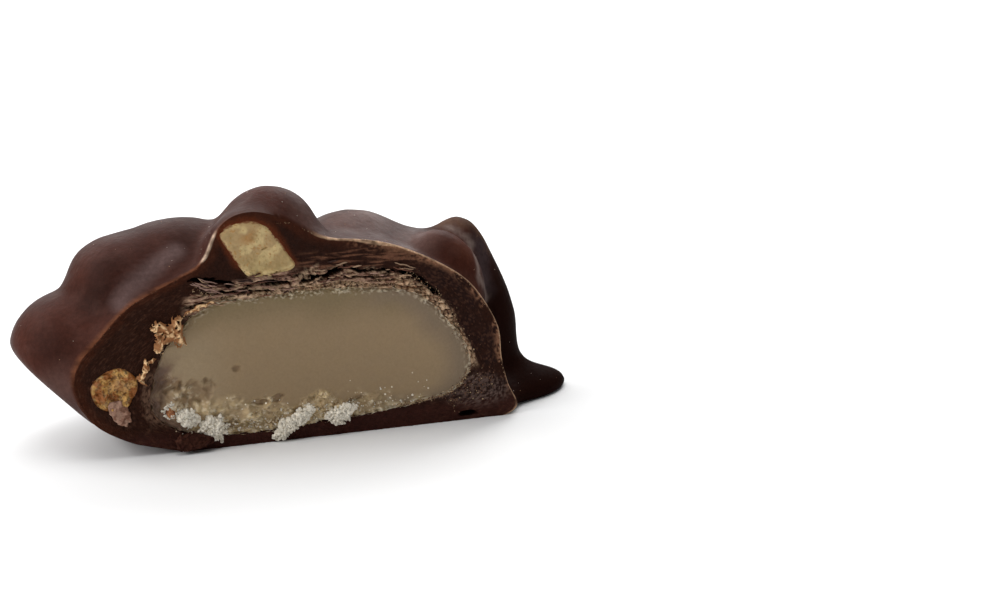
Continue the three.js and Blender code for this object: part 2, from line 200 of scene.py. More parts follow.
bodyRadius = radiusByAngle(body["section"], closed=False)
placedLobes = []
for middle, size, turned, fill in lobes.values():
    x, y, z = (math.radians(t) for t in turned)
    spin = Matrix.Rotation(x, 3, "X") @ Matrix.Rotation(y, 3, "Y") @ Matrix.Rotation(z, 3, "Z")
    placedLobes.append((np.array(middle), np.array(size), np.array(spin), fill))


def smoothMin(a, b, fill):
    h = np.maximum(fill - np.abs(a - b), 0) / fill
    return np.minimum(a, b) - h * h * fill / 4


def footLevel(x):
    level = 0
    for start, slope, round in foot["lifts"]:
        past = np.maximum(start - x, 0)
        level = level + slope * np.where(past < round, past * past / (2 * round), past - round / 2)
    return level


# How far points are outside the coat, about in mm, and below 0 inside it.
def coatField(p):
    x, y, z = p[..., 0], p[..., 1], p[..., 2]
    across = np.hypot(x, z) / bodyRadius(np.abs(np.arctan2(z, x)))
    joined = (np.hypot(across, y / body["depth"]) - 1) * body["scale"]
    for middle, size, spin, fill in placedLobes:
        q = (p - middle) @ spin / size
        near = np.linalg.norm(q, axis=-1)
        steep = np.maximum(np.linalg.norm(q / size, axis=-1), 1e-9)
        joined = smoothMin(joined, near * (near - 1) / steep, fill)
    return -smoothMin(-joined, z - footLevel(x), foot["round"])


search = {
    "from": 44.0, "first": 0.4, "share": 0.4, "least": 0.25, "most": 3.0, "steps": 120, "halvings": 18,
}


# Distance to the coat's surface along a direction, searched from outside in.
def reachOf(start, direction):
    out = np.full(start.shape[:-1], search["from"])
    step = np.full_like(out, search["first"])
    going = np.ones(out.shape, bool)
    for _ in range(search["steps"]):
        value = coatField(start + direction * (out - step)[..., None])
        going &= (value > 0) & (out > step)
        if not going.any():
            break
        out = np.where(going, out - step, out)
        step = np.where(going, np.clip(value * search["share"], search["least"], search["most"]), step)
    inner = out - step
    for _ in range(search["halvings"]):
        half = (inner + out) / 2
        outside = coatField(start + direction * half[..., None]) > 0
        out, inner = np.where(outside, half, out), np.where(outside, inner, half)
    return out


# Moves points near the coat's surface onto it. Those on the rim stay in the plane of the cut.
def settle(points, onRim, rounds=2, apart=0.01, flattest=0.05):
    for _ in range(rounds):
        value = coatField(points)
        slope = np.zeros_like(points)
        for axis in range(3):
            beside = points.copy()
            beside[..., axis] += apart
            slope[..., axis] = (coatField(beside) - value) / apart
        slope[onRim, :, 1] = 0
        steep = np.maximum((slope**2).sum(-1), flattest)
        points = points - slope * (value / steep)[..., None]
    return points


# A ball with its poles on the y axis, and for each of its points the ring and step it lies on.
def ballMesh(name, around, rings):
    bm = bmesh.new()
    bmesh.ops.create_uvsphere(
        bm, u_segments=around, v_segments=rings, radius=1, matrix=Matrix.Rotation(math.pi / 2, 4, "X")
    )
    mesh = bpy.data.meshes.new(name)
    bm.to_mesh(mesh)
    bm.free()
    unit = np.zeros(len(mesh.vertices) * 3)
    mesh.vertices.foreach_get("co", unit)
    unit = unit.reshape(-1, 3)
    ring = np.rint(np.arccos(np.clip(unit[:, 1], -1, 1)) / math.pi * rings).astype(int)
    step = np.rint(np.arctan2(unit[:, 2], unit[:, 0]) / turn * around).astype(int) % around
    return mesh, ring, step


def paint(mesh, name, colours):
    rgba = np.concatenate([np.clip(colours, 0, 1), np.ones((len(colours), 1))], -1)
    layer = mesh.color_attributes.new(name, "FLOAT_COLOR", "POINT")
    layer.data.foreach_set("color", rgba.ravel())


# Gives each point of a ball its place and tint, from grids with a row for each ring.
def fillBall(ball, grid, tint):
    mesh, ring, step = ball
    mesh.vertices.foreach_set("co", inFrame(grid[ring, step]).ravel())
    paint(mesh, "tint", tint[ring, step])


def finished(mesh, name, material, sharp=None):
    for one in material if isinstance(material, list) else [material]:
        mesh.materials.append(one)
    mesh.shade_smooth()
    if sharp:
        mesh.set_sharp_from_angle(angle=math.radians(sharp))
    piece = bpy.data.objects.new(name, mesh)
    bpy.context.scene.collection.objects.link(piece)
    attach(piece, "root")
    print(name, "made:", sum(len(p.vertices) - 2 for p in mesh.polygons), "triangles")
    return piece


# What shows in the cut: outlines [x, z] and the middles that they are measured from. Behind the cut
# a piece narrows to a point at its depth, and its lean [x, z] is how far that point is moved.
creamShape = {
    "middle": (1.4, 8.6),
    "depth": 17.3,
    "lean": (0, 0),
    "outline": [
        (20.2, 7.1), (19.0, 10.5), (17.0, 12.8), (15.1, 14.9), (12.1, 16.5), (4.4, 17.4), (-5.2, 17.3),
        (-10.2, 16.9), (-13.5, 15.0), (-16.2, 11.6), (-17.6, 7.6), (-17.2, 4.8), (-13.6, 2.3),
        (-6.5, 1.5), (1.9, 1.9), (10.6, 2.5), (17.2, 3.5), (19.4, 5.0),
    ],
}
nutTopShape = {
    "middle": (-5.1, 22.8),
    "depth": 6.0,
    "lean": (3.0, -0.5),
    "outline": [
        (-0.9, 20.7), (-1.7, 22.1), (-2.8, 23.8), (-3.9, 25.2), (-5.4, 25.9), (-7.2, 26.0), (-8.5, 25.5),
        (-9.2, 24.8), (-8.9, 24.0), (-8.1, 22.8), (-6.9, 20.9), (-5.6, 19.8), (-2.2, 20.0),
    ],
}
nutLeftShape = {
    "middle": (-21.7, 8.2),
    "depth": 5.5,
    "lean": (0, 0),
    "outline": [
        (-19.1, 8.2), (-19.3, 9.4), (-20.6, 10.5), (-22.0, 10.6), (-23.7, 9.7), (-24.4, 8.4),
        (-23.8, 6.6), (-22.6, 5.8), (-20.7, 5.7), (-19.7, 6.9),
    ],
}
for shape in (creamShape, nutTopShape, nutLeftShape):
    shape["radius"] = radiusByAngle(shape["outline"], shape["middle"])

coat = {
    "around": 640,
    "backRings": 66,
    "cutRings": 80,
    "hollowRings": 6,
    "middle": (1.8, 6.4),
    "lineBack": 8.6,  # the rings start from a line that runs this far back, and then from its end
    "straight": 0.26,  # the share of them on the line
    "closerTowards": -9,  # degrees, towards the drip, where the steps lie closer
    "closerWidth": 40,
    "closerBy": 0.68,
    "evenRounds": 6,
    "mouthRoom": 0.1,
    "heart": (1.8, 6.0, 6.4),  # the outside is uneven towards and away from here
    "wave": 0.1,  # slow unevenness of the dipped outside
    "ripple": 0.03,
    "rimShare": [0.6, 0.3, 0],  # how much of that unevenness is left on the last rings, at the cut
}


def coatSteps(count):
    angle = np.arange(count) / count * turn
    away = angle - math.radians(coat["closerTowards"])
    away = np.arctan2(np.sin(away), np.cos(away))
    width = math.radians(coat["closerWidth"])
    return angle - coat["closerBy"] * away * np.exp(-((away / width) ** 2))


def outerGrid():
    rings = coat["backRings"]
    angle = coatSteps(coat["around"])[None, :]
    back = (1 - np.arange(rings + 1) / rings)[:, None]
    along = np.minimum(back / coat["straight"], 1)
    round90 = np.maximum((back - coat["straight"]) / (1 - coat["straight"]), 0) * math.pi / 2
    one = np.ones_like(angle * back)
    mx, mz = coat["middle"]
    start = np.stack([one * mx, one * coat["lineBack"] * along, one * mz], -1)
    way = np.stack([
        np.cos(angle) * np.cos(round90), one * np.sin(round90), np.sin(angle) * np.cos(round90),
    ], -1)
    points = start + way * reachOf(start, way)[..., None]
    onRim = np.arange(rings + 1) == rings
    for _ in range(coat["evenRounds"]):
        beside = np.roll(points, 1, 1) + np.roll(points, -1, 1)
        mean = points.copy()
        mean[1:-1] = (beside[1:-1] + points[:-2] + points[2:]) / 4
        mean[-1] = beside[-1] / 2
        mean[0] = points[1].mean(0)
        points = settle(mean, onRim)
    return points


# The flaky layer over the filling: its cracks, as paths [x, z] with a width and a depth.
cracks = [
    {"path": [(-13.1, 20.0), (-11.5, 19.9), (-10.0, 19.6), (-7.8, 19.1)], "width": 0.42, "depth": 1.5},
    {"path": [(-6.7, 18.9), (-4.2, 18.9), (-1.3, 18.6)], "width": 0.24, "depth": 1.0},
    {
        "path": [(-0.2, 18.5), (1.9, 18.9), (3.7, 19.4), (5.1, 19.9), (6.4, 19.5)],
        "width": 0.46, "depth": 1.6,
    },
    {"path": [(6.6, 19.2), (9.8, 19.1), (12.2, 18.7), (13.8, 17.8)], "width": 0.36, "depth": 1.4},
    {"path": [(13.6, 18.0), (15.3, 16.6), (16.7, 15.1)], "width": 0.5, "depth": 1.2},
    {"path": [(-9.4, 18.3), (-6.4, 17.9), (-3.6, 18.0)], "width": 0.25, "depth": 0.7},
    {"path": [(2.2, 18.4), (5.6, 18.7), (8.4, 18.4)], "width": 0.25, "depth": 0.7},
]
airHoleDepth = 1.5
spots = {  # ovals in the cut: middle, half sizes, lean
    "airHole": ((19.9, 0.86), (1.1, 0.38), 0),
    "torn": ((9.1, 23.0), (2.6, 0.9), -8),
    "tornRim": ((9.1, 23.0), (2.9, 1.1), -8),
    "notch": ((-10.3, 23.2), (1.3, 2.2), 0),
    "powder": ((20.6, 3.7), (4.6, 2.1), -8),
    "knob": ((-3.6, 25.6), (5.4, 3.6), 0),
}
zones = {  # soft edged parts of the cut, by axis: where each begins and where it is full
    "layers": [("z", 14.5, 16.5), ("x", -14.2, -12.6), ("x", 15.5, 12.5)],
    "crumb": [("x", 8.0, 13.0), ("z", 6.0, 8.5)],
    "porous": [("x", -11.5, -14.5), ("z", 11.5, 8.5), ("z", 2.6, 4.4)],
    "top": [("z", 15.5, 18.5), ("x", -13, -8)],
    "foot": [("z", 3.4, 1.6)],
    "streaks": [("z", 19.2, 20.0), ("x", -2, 1), ("x", 16, 12)],
    "redNut": [("z", 20.2, 21.2)],
    "redRim": [("z", 2.0, 4.0)],
    "rightArc": [("x", 4, 9)],
    "ruddy": [("z", 0, 6)],
    "overMouth": [("x", -12, -9), ("z", 15.5, 17)],
}
cutNoise = {
    "swell": (0.5, 0.5, 3, 0.0),
    "tooth": (2.4, 2.4, 3, 7.0),
    "torn": (1.1, 1.6, 3, 4.0),
    "powder": (3.4, 3.4, 2, 1.0),
    "lip": (1.8, 1.8, 2, 5.0),
    "tornRim": (2.2, 2.2, 3, 8.0),
    "drift": (0.22, 0.3, 2, 41.0),
    "flakes": (0.42, 2.6, 3, 2.0),
    "flakeTooth": (3.1, 4.4, 3, 12.0),
    "layerEdge": (0.5, 0.5, 2, 33.0),
    "crumbEdge": (0.5, 0.5, 3, 3.0),
    "poreWarp": (1.5, 1.5, 2, 0.0),
    "porousEdge": (0.9, 0.9, 3, 25.0),
    "broad": (0.35, 0.35, 3, 6.0),
    "fine": (2.6, 2.6, 2, 11.0),
    "grainy": (3.6, 3.6, 3, 14.0),
    "streaks": (0.35, 3.2, 3, 21.0),
    "scratches": (1.1, 8.0, 3, 31.0),
    "wander": (0.9, 0.9, 2, 17.0),
    "lipTone": (2.2, 2.2, 2, 19.0),
}

# Colours of the coat in the cut, as they show.
cutColours = {
    "dark": shown(35, 17, 10),
    "top": shown(34, 17, 11),
    "red": shown(82, 38, 19),
    # reddish-brown streaks, their own colour made lighter as painted highlight for their gloss
    "streakAndGloss": shown(98, 66, 50),
    "right": shown(29, 15, 12),
    "fuzz": shown(76, 50, 38),
    "ruddy": shown(116, 82, 62),
    "porous": shown(84, 62, 49),
    "tan": shown(176, 150, 123),
    "crumb": shown(134, 104, 82),
    # painted shade where the cut lies deep
    "recessShade": shown(16, 8, 6),
    "plate": shown(126, 98, 84),
    "brown": shown(80, 50, 36),
    "powder": shown(90, 74, 68),
    "base": shown(46, 23, 18),
    "lipLeft": shown(88, 52, 34),
    "lipRight": shown(160, 130, 104),
    "lipNotch": shown(190, 166, 144),
}


def inZone(name, x, z):
    share = np.ones_like(x)
    for axis, start, full in zones[name]:
        share = share * ease(start, full, x if axis == "x" else z)
    return share


def cutRelief(x, z, fromRim, fromMouth):
    def noiseOf(name):
        return flatNoise(x, z, cutNoise[name])

    y = 0.07 * noiseOf("swell")
    y += 0.05 * noiseOf("tooth")
    torn = noiseOf("torn")
    flat = np.stack([x, z], -1)
    for crack in cracks:
        near = distanceToLine(flat, crack["path"]) + 0.3 * torn
        y += crack["depth"] * ease(crack["width"] * 0.6, crack["width"] * 0.2, near)
    flakes, rough = layerNoise(x, z)
    y += layered(x, z, fromMouth) * (0.5 * flakes + 0.16 * rough)
    pores = poresAt(x, z)
    y += granular(x, z, fromMouth) * (0.16 - 0.6 * pores + 0.12 * rough)
    y += porousEdge(x, z, fromMouth) * (0.1 - 0.35 * pores)
    y += powdery(x, z) * 0.1 * noiseOf("powder")
    hole = inOval(x, z, *spots["airHole"])
    y += airHoleDepth * np.sqrt(np.clip(1 - hole**2, 0, 1))
    lip = ease(0.45, 0.1, fromRim + 0.1 * torn) * (1 - overKnob(x, z))
    y -= lip * (0.1 + 0.12 * noiseOf("lip"))
    patch = inOval(x, z, *spots["torn"])
    return y - ease(1.1, 0.6, patch) * (0.12 + 0.22 * noiseOf("tornRim"))


# Long thin flakes that lie along the arched layer over the filling, and their fine roughness.
def layerNoise(x, z):
    lie = z + 0.5 * flatNoise(x, z, cutNoise["drift"]) + 0.0035 * (x - 2) ** 2
    return flatNoise(x, lie, cutNoise["flakes"]), flatNoise(x, z, cutNoise["flakeTooth"])


def layered(x, z, fromMouth):
    return inZone("layers", x, z) * ease(3.2, 2.3, fromMouth + 0.7 * flatNoise(x, z, cutNoise["layerEdge"]))


# Dry crumb at the right of the filling, in a band that widens upwards.
def granular(x, z, fromMouth):
    wide = 1.6 + 1.8 * ease(9.0, 15.0, z)
    edge = fromMouth + 0.9 * flatNoise(x, z, cutNoise["crumbEdge"])
    return inZone("crumb", x, z) * ease(wide, wide - 1.0, edge)


# Lumps of dry crumb with pores between them, from 0 in a pore to 1 on a lump.
def poresAt(x, z):
    big, tall = cellsAt(x + 0.3 * flatNoise(x, z, cutNoise["poreWarp"]), z, 0.62, 2.0)
    small, short = cellsAt(x, z, 0.3, 6.0)
    return ease(0.02, 0.2, big) * (0.3 + 0.7 * tall) * 0.7 + ease(0.02, 0.25, small) * short * 0.3


# Porous greyish crumb between the chocolate and the left of the filling.
def porousEdge(x, z, fromMouth):
    uneven = 0.9 * flatNoise(x, z, cutNoise["porousEdge"])
    return inZone("porous", x, z) * ease(1.3, 0.3, fromMouth + uneven)


def powdery(x, z):
    return ease(1.25, 0.55, inOval(x, z, *spots["powder"]))


# Over the knob the outside runs into the cut without an edge.
def overKnob(x, z):
    return ease(1.25, 0.85, inOval(x, z, *spots["knob"]))


def cutColour(x, z, y, fromRim, fromMouth):
    def noiseOf(name):
        return flatNoise(x, z, cutNoise[name])

    def add(name, share):
        nonlocal tint
        tint = blend(tint, cutColours[name], share)

    broad, fine, grainy = noiseOf("broad"), noiseOf("fine"), noiseOf("grainy")
    rightArc = inZone("rightArc", x, z)
    tint = np.broadcast_to(cutColours["dark"], x.shape + (3,)).copy()
    add("top", inZone("top", x, z))
    add("right", ease(12, 18, x) * (0.75 + broad))
    add("base", inZone("foot", x, z))
    band = ease(22.4, 21.2, z + 0.4 * broad) * inZone("streaks", x, z)
    # reddish-brown streaks, partly their own colour and partly painted highlight for their gloss
    add("streakAndGloss", band * ease(-0.1, 0.4, noiseOf("streaks")) * 0.75)
    add("red", ease(1.1, 0.0, outsideOf(nutTopShape, x, z) + 0.3 * fine) * inZone("redNut", x, z) * 0.85)
    redRim = ease(1.5, 0.3, fromRim + 0.5 * broad) * inZone("redRim", x, z)
    add("red", redRim * 0.2 * (1 - rightArc))
    add("ruddy", redRim * 0.85 * rightArc * inZone("ruddy", x, z) * ease(-0.3, 0.2, fine + broad))
    scratches = flatNoise(x + z * 0.8, z - x * 0.9, cutNoise["scratches"])
    add("fuzz", ease(-10.5, -13.5, x) * ease(0.22, 0.6, scratches) * 0.4)
    add("fuzz", ease(11, 16, x) * ease(0.12, 0.45, grainy + 0.4 * broad) * 0.4)
    layers = layered(x, z, fromMouth)
    flakes, rough = layerNoise(x, z)
    add("brown", layers * ease(0.3, -0.1, flakes) * 0.8)
    add("plate", layers * ease(0.02, -0.3, flakes + 0.3 * rough) * 0.9)
    nearMouth = ease(1.3, 0.5, fromMouth + 0.4 * fine) * inZone("overMouth", x, z)
    add("tan", nearMouth * ease(0.3, -0.1, rough) * 0.9)
    grains, pores = granular(x, z, fromMouth), poresAt(x, z)
    add("tan", layers * ease(0.3, 0.6, pores + 0.3 * rough) * 0.55)
    add("crumb", grains * ease(0.04, 0.2, pores))
    add("tan", grains * ease(0.25, 0.55, pores + 0.2 * rough))
    add("porous", porousEdge(x, z, fromMouth) * ease(-0.1, 0.5, pores))
    add("powder", powdery(x, z) * ease(-0.3, 0.25, grainy) * 0.8)
    # painted shade where the cut lies deepest: the cracks, the air hole and gaps between flakes
    add("recessShade", ease(0.25, 0.8, y))
    wander = noiseOf("wander")
    lip, share = lipColour(x, z, fromRim, wander)
    tint = blend(tint, lip, share * (1 - overKnob(x, z)) * (0.75 + 0.7 * wander + 0.6 * broad))
    return tint * (1 + 0.25 * fine)[..., None]


# The pale edge where the dipped outside was cut: its colour, and how much of it shows.
def lipColour(x, z, fromRim, wander):
    notch = ease(1.3, 0.6, inOval(x, z, *spots["notch"]))
    patch = ease(1.2, 0.6, inOval(x, z, *spots["tornRim"]))
    wide = 0.13 + 0.06 * ease(0, 4, x) + 0.14 * notch + 0.5 * patch
    share = ease(1.25, 0.45, (fromRim + 0.1 * wander) / wide) * ease(2.0, 5.0, z + 0.25 * x)
    lip = np.broadcast_to(cutColours["lipLeft"], x.shape + (3,))
    lip = blend(lip, cutColours["lipRight"], ease(0.0, 3.0, x))
    lip = blend(lip, cutColours["lipNotch"], notch)
    return lip * (1 + 0.5 * flatNoise(x, z, cutNoise["lipTone"]) * ease(0, 4, x))[..., None], share


def fromMiddle(shape, x, z):
    dx, dz = x - shape["middle"][0], z - shape["middle"][1]
    return dx, dz, np.hypot(dx, dz), shape["radius"](np.arctan2(dz, dx))


def outsideOf(shape, x, z):
    _, _, far, radius = fromMiddle(shape, x, z)
    return far - radius


cutGridRules = {
    "rimSteps": [0.0, 0.06, 0.13, 0.21, 0.3, 0.4],  # mm from the rim, close together for its pale edge
    "snap": 0.09,  # points this near a nut's edge are moved onto it
    "nutRoom": 0.6,  # the coat's hollow behind a nut is this much less deep than the nut
    "rimFlat": 0.2,
}


def cutGrid(rim):
    rules = cutGridRules
    steps = np.arange(coat["around"]) / coat["around"] * turn
    mx, mz = creamShape["middle"]
    reach = creamShape["radius"](steps) + coat["mouthRoom"]
    mouth = np.stack([mx + reach * np.cos(steps), mz + reach * np.sin(steps)], -1)
    edge = rim[:, [0, 2]]
    across = np.linalg.norm(mouth - edge, axis=-1)
    close = np.array(rules["rimSteps"])
    rest = coat["cutRings"] - len(close) + 1
    share = np.linspace(0, 1, rest + 1)[1:, None]
    narrow = np.repeat(close[:, None], len(steps), 1)
    fromRim = np.concatenate([narrow, close[-1] + (across - close[-1]) * share])
    flat = edge + (mouth - edge) * (fromRim / across)[..., None]
    x, z = flat[..., 0], flat[..., 1]
    fromMouth = across - fromRim
    for shape in (nutTopShape, nutLeftShape):
        dx, dz, far, radius = fromMiddle(shape, x, z)
        move = np.where(np.abs(far - radius) < rules["snap"], radius - far, 0) / np.maximum(far, 1e-6)
        x, z = x + dx * move, z + dz * move
    y = cutRelief(x, z, fromRim, fromMouth)
    tint = cutColour(x, z, y, fromRim, fromMouth)
    for shape in (nutTopShape, nutLeftShape):
        _, _, far, radius = fromMiddle(shape, x, z)
        part = far / radius
        hollow = (shape["depth"] - rules["nutRoom"]) * np.sqrt(np.clip(1 - part**2, 0, 1))
        y = np.where(part < 0.999, hollow, y)
    y = y * ease(0, rules["rimFlat"], fromRim)
    return np.stack([x, y, z], -1), tint, steps, reach


# The coat's hollow for the filling, from the inner edge of the cut back to a point.
def hollowGrid(last, steps, reach):
    part = np.arange(1, coat["hollowRings"] + 1)[:, None] / coat["hollowRings"] * math.pi / 2
    mx, mz = creamShape["middle"]
    across = reach * np.cos(part)
    y = (creamShape["depth"] + 0.2) * np.sin(part) * np.ones_like(across)
    points = np.stack([mx + across * np.cos(steps), y, mz + across * np.sin(steps)], -1)
    return np.concatenate([last[None], points])[1:]


# Materials.
def surface(name, roughness, **fixed):
    material = bpy.data.materials.new(name)
    material.use_nodes = True
    shader = material.node_tree.nodes["Principled BSDF"]
    shader.inputs["Roughness"].default_value = roughness
    for key, value in fixed.items():
        shader.inputs[key.replace("_", " ")].default_value = value
    return material, shader


def node(material, kind, links=(), **values):
    made = material.node_tree.nodes.new(kind)
    for key, value in values.items():
        if hasattr(made, key):
            setattr(made, key, value)
        else:
            made.inputs[key.replace("_", " ")].default_value = value
    for socket, source in links:
        material.node_tree.links.new(source, made.inputs[socket])
    return made


def texture(material, scale, detail, rough=0.55):
    at = node(material, "ShaderNodeTexCoord")
    made = node(
        material, "ShaderNodeTexNoise", [("Vector", at.outputs["Object"])],
        Scale=scale, Detail=detail, Roughness=rough,
    )
    return made.outputs["Fac"]


# Noise stays between 0.3 and 0.7 nearly everywhere, and is spread from low to high.
def spreadOut(material, source, low, high):
    spread = node(
        material, "ShaderNodeMapRange", [("Value", source)],
        From_Min=0.3, From_Max=0.7, To_Min=low, To_Max=high,
    )
    return spread.outputs["Result"]


# The piece's own tint, made darker and lighter by a fine speckle.
def tinted(material, shader, scale, detail, low, high, rough=0.6):
    speckle = texture(material, scale, detail, rough)
    tint = node(material, "ShaderNodeVertexColor", layer_name="tint")
    mixed = node(
        material, "ShaderNodeVectorMath",
        [(0, tint.outputs["Color"]), ("Scale", spreadOut(material, speckle, low, high))], operation="SCALE",
    )
    material.node_tree.links.new(mixed.outputs["Vector"], shader.inputs["Base Color"])
    return speckle


def bumped(material, shader, height, distance, strength):
    bump = node(material, "ShaderNodeBump", [("Height", height)], Strength=strength, Distance=distance)
    material.node_tree.links.new(bump.outputs["Normal"], shader.inputs["Normal"])


def varied(material, shader, scale, low, high):
    rough = spreadOut(material, texture(material, scale, 3), low, high)
    material.node_tree.links.new(rough, shader.inputs["Roughness"])


def sheened(material, shader, most):
    sheen = node(material, "ShaderNodeAttribute", attribute_name="sheen")
    level = node(material, "ShaderNodeMath", [(0, sheen.outputs["Fac"])], operation="MULTIPLY")
    level.inputs[1].default_value = most
    material.node_tree.links.new(level.outputs["Value"], shader.inputs["Specular IOR Level"])


def satinChocolate():
    material, shader = surface("satinChocolate", 0.5)
    sheened(material, shader, 0.05)
    tinted(material, shader, 1700, 6, 0.76, 1.22, 0.75)
    varied(material, shader, 400, 0.42, 0.54)
    bumped(material, shader, texture(material, 1500, 6, 0.6), 0.0001, 0.7)
    return material


# speckle: scale, detail, darkest and lightest, roughness; bump: metres and strength
def speckled(name, roughness, shine, speckle, bump=None, **fixed):
    material, shader = surface(name, roughness, Specular_IOR_Level=shine, **fixed)
    fleck = tinted(material, shader, *speckle)
    if bump:
        bumped(material, shader, fleck, *bump)
    return material, shader


def cutChocolate():
    material, shader = speckled("cutChocolate", 0.8, 0.07, (4200, 5, 0.72, 1.3, 0.7), (0.00012, 0.9))
    varied(material, shader, 1500, 0.65, 0.95)
    return material


def fondantCream():
    material, _ = speckled(
        "fondantCream", 0.6, 0.4, (3800, 4, 0.93, 1.07, 0.7), (0.00005, 0.6),
        Subsurface_Weight=0.3, Subsurface_Radius=(1.0, 0.8, 0.5), Subsurface_Scale=0.0008,
    )
    return material


skinFinish, cutFinish, creamFinish = satinChocolate(), cutChocolate(), fondantCream()
nutFinish, _ = speckled("nutFlesh", 0.55, 0.4, (1700, 5, 0.88, 1.12, 0.65), (0.00008, 0.6))
flakeFinish, _ = speckled("dryFlake", 0.75, 0.35, (3200, 4, 0.8, 1.2, 0.7), (0.00006, 0.7))
crystalFinish, _ = speckled("crystalFondant", 0.42, 0.5, (5200, 3, 0.92, 1.08, 0.7), (0.00004, 0.5))
sugarFinish, _ = speckled("sugarCrystal", 0.12, 0.6, (2500, 2, 0.95, 1.05, 0.6))

skinColours = {
    "plum": linear(66, 35, 27),
    "deep": linear(50, 26, 20),
    # painted shade on the left lobes and the valley between them
    "dark": linear(40, 21, 16),
    "back": linear(49, 30, 25),
    # painted highlight along the valley between the left lobes
    "valley": linear(92, 72, 69),
    # painted grey sheen, and some grey bloom
    "sheenAndBloom": linear(90, 66, 60),
    "ruddy": linear(76, 42, 31),
    # painted shade on the right flank of the ridge and on the tail
    "flankShade": linear(24, 11, 8),
    # painted grey sheen on the flank of the ridge
    "flankSheen": linear(66, 55, 56),
    # painted highlight, a thin bright line along the creased edge of the ridge
    "creaseHighlight": linear(124, 108, 101),
    "crest": linear(84, 61, 49),
}
sheensAndBlooms = [  # painted grey sheen, standing in for reflections on the dipped outside, and some grey bloom: middle, reach and strength
    ((11.1, 9.3, 23.1), 4.5, 1.0), ((7.8, 8.6, 23.0), 4.0, 1.0), ((15.6, 6.1, 20.8), 4.0, 0.7),
    ((-27.4, 1.5, 9.0), 3.5, 0.6), ((1.5, 0.8, 25.6), 3.6, 0.65), ((-8.0, 12.0, 21.5), 4.0, 0.6),
    ((3.0, 16.0, 18.0), 4.0, 0.5), ((-12.0, 20.0, 12.0), 4.0, 0.5), ((18.0, 17.0, 12.0), 3.5, 0.5),
]
shadows = [  # painted shade, where the outside is darker: middle, reach and strength
    ((-20.9, 3.6, 21.6), 3.4, 0.7), ((-22.6, 2.8, 18.4), 4.0, 0.8), ((-12.3, 3.8, 23.4), 3.2, 0.5),
    ((-28.1, 2.6, 13.4), 4.0, 0.3),
]
ruddySpot = ((21.0, 4.6, 19.8), 2.6)
# Lines on the outside: a painted highlight along the valley between the left lobes, and at the ridge on the
# right its crest, a painted highlight along its creased edge and a painted grey sheen on its flank.
valleyHighlightLine = [
    (-13.6, 3.4, 22.6), (-15.5, 2.7, 21.7), (-17.4, 1.9, 20.5), (-19.5, 1.2, 19.2), (-20.6, 0.9, 18.0),
]
creaseHighlightLine = [(21.0, 9.7, 21.1), (23.1, 7.6, 19.4), (22.6, 4.8, 18.5), (22.4, 3.0, 16.3), (24.3, 5.8, 12.9)]
crestLine = [
    (20.6, 11.4, 21.5), (21.9, 10.8, 21.8), (23.6, 10.0, 21.4), (25.0, 9.8, 19.8), (25.8, 9.6, 18.4),
]
flankSheenLine = [(24.4, 8.0, 19.0), (24.3, 6.4, 16.8), (24.4, 5.8, 14.4)]


def softNoise(points):
    return noiseAt(points, 0.5, 3, 2.0)


# How much painted shade falls on the right flank of the ridge and on the tail, from 0 to 1.
def shadedFlank(points, soft):
    x, y = points[..., 0], points[..., 1]
    return np.maximum(ease(22.2, 24.6, x + 0.5 * soft) * ease(20, 13, y), ease(25.5, 27.5, x))


# How much the dipped outside shines, from 0 to 1: most right of the knob, least on the dark flank.
def sheenOf(points):
    x = points[..., 0]
    most = ease(3.0, 7.0, x) * ease(20.0, 16.0, x)
    return 0.65 + 0.35 * most - 0.45 * ease(16.5, 20.5, x) - 0.15 * shadedFlank(points, softNoise(points))


# 1 at a spot, and 0 from a little past its reach, with an uneven edge.
def nearSpot(points, at, reach, soft, full=0.1):
    near = np.linalg.norm(points - np.array(at), axis=-1) / reach
    return ease(1.1, full, near + 0.15 * soft)


def skinColour(points):
    slow, soft = noiseAt(points, 0.1, 3, 5.0), softNoise(points)
    tint = np.broadcast_to(skinColours["plum"], points.shape).copy()
    tint = blend(tint, skinColours["deep"], 0.7 * ease(-0.3, 0.5, slow))
    tint = blend(tint, skinColours["back"], 0.9 * ease(5, 14, points[..., 1]))
    # painted shade on the left lobes and the valley between them
    for at, reach, strength in shadows:
        tint = blend(tint, skinColours["dark"], strength * nearSpot(points, at, reach, soft))
    tint = blend(tint, skinColours["ruddy"], nearSpot(points, *ruddySpot, soft, full=0.3))
    # a faint grey bloom all over, then painted grey sheen at the spots
    share = 0.12 * ease(0.1, 0.6, soft)
    for at, reach, strength in sheensAndBlooms:
        share = np.maximum(share, strength * nearSpot(points, at, reach, soft))
    tint = blend(tint, skinColours["sheenAndBloom"], share)
    # painted highlight along the valley between the left lobes
    tint = blend(tint, skinColours["valley"], ease(1.8, 0.1, distanceToLine(points, valleyHighlightLine)))
    # painted shade on the right flank of the ridge and on the tail, most low down
    flankShade = (0.7 + 0.22 * ease(18, 12, points[..., 2])) * shadedFlank(points, soft)
    tint = blend(tint, skinColours["flankShade"], flankShade)
    # painted grey sheen on the flank of the ridge
    flank = ease(2.6, 0.2, distanceToLine(points, flankSheenLine) + 0.5 * soft)
    tint = blend(tint, skinColours["flankSheen"], 0.7 * flank)
    grain = noiseAt(points, 1.8, 2, 4.0)
    crest = ease(1.5, 0.3, distanceToLine(points, crestLine) + 0.9 * grain)
    tint = blend(tint, skinColours["crest"], 0.85 * crest)
    # painted highlight, a thin bright line along the creased edge of the ridge
    creaseHighlight = ease(0.8, 0.1, distanceToLine(points, creaseHighlightLine))
    return blend(tint, skinColours["creaseHighlight"], 0.75 * creaseHighlight)


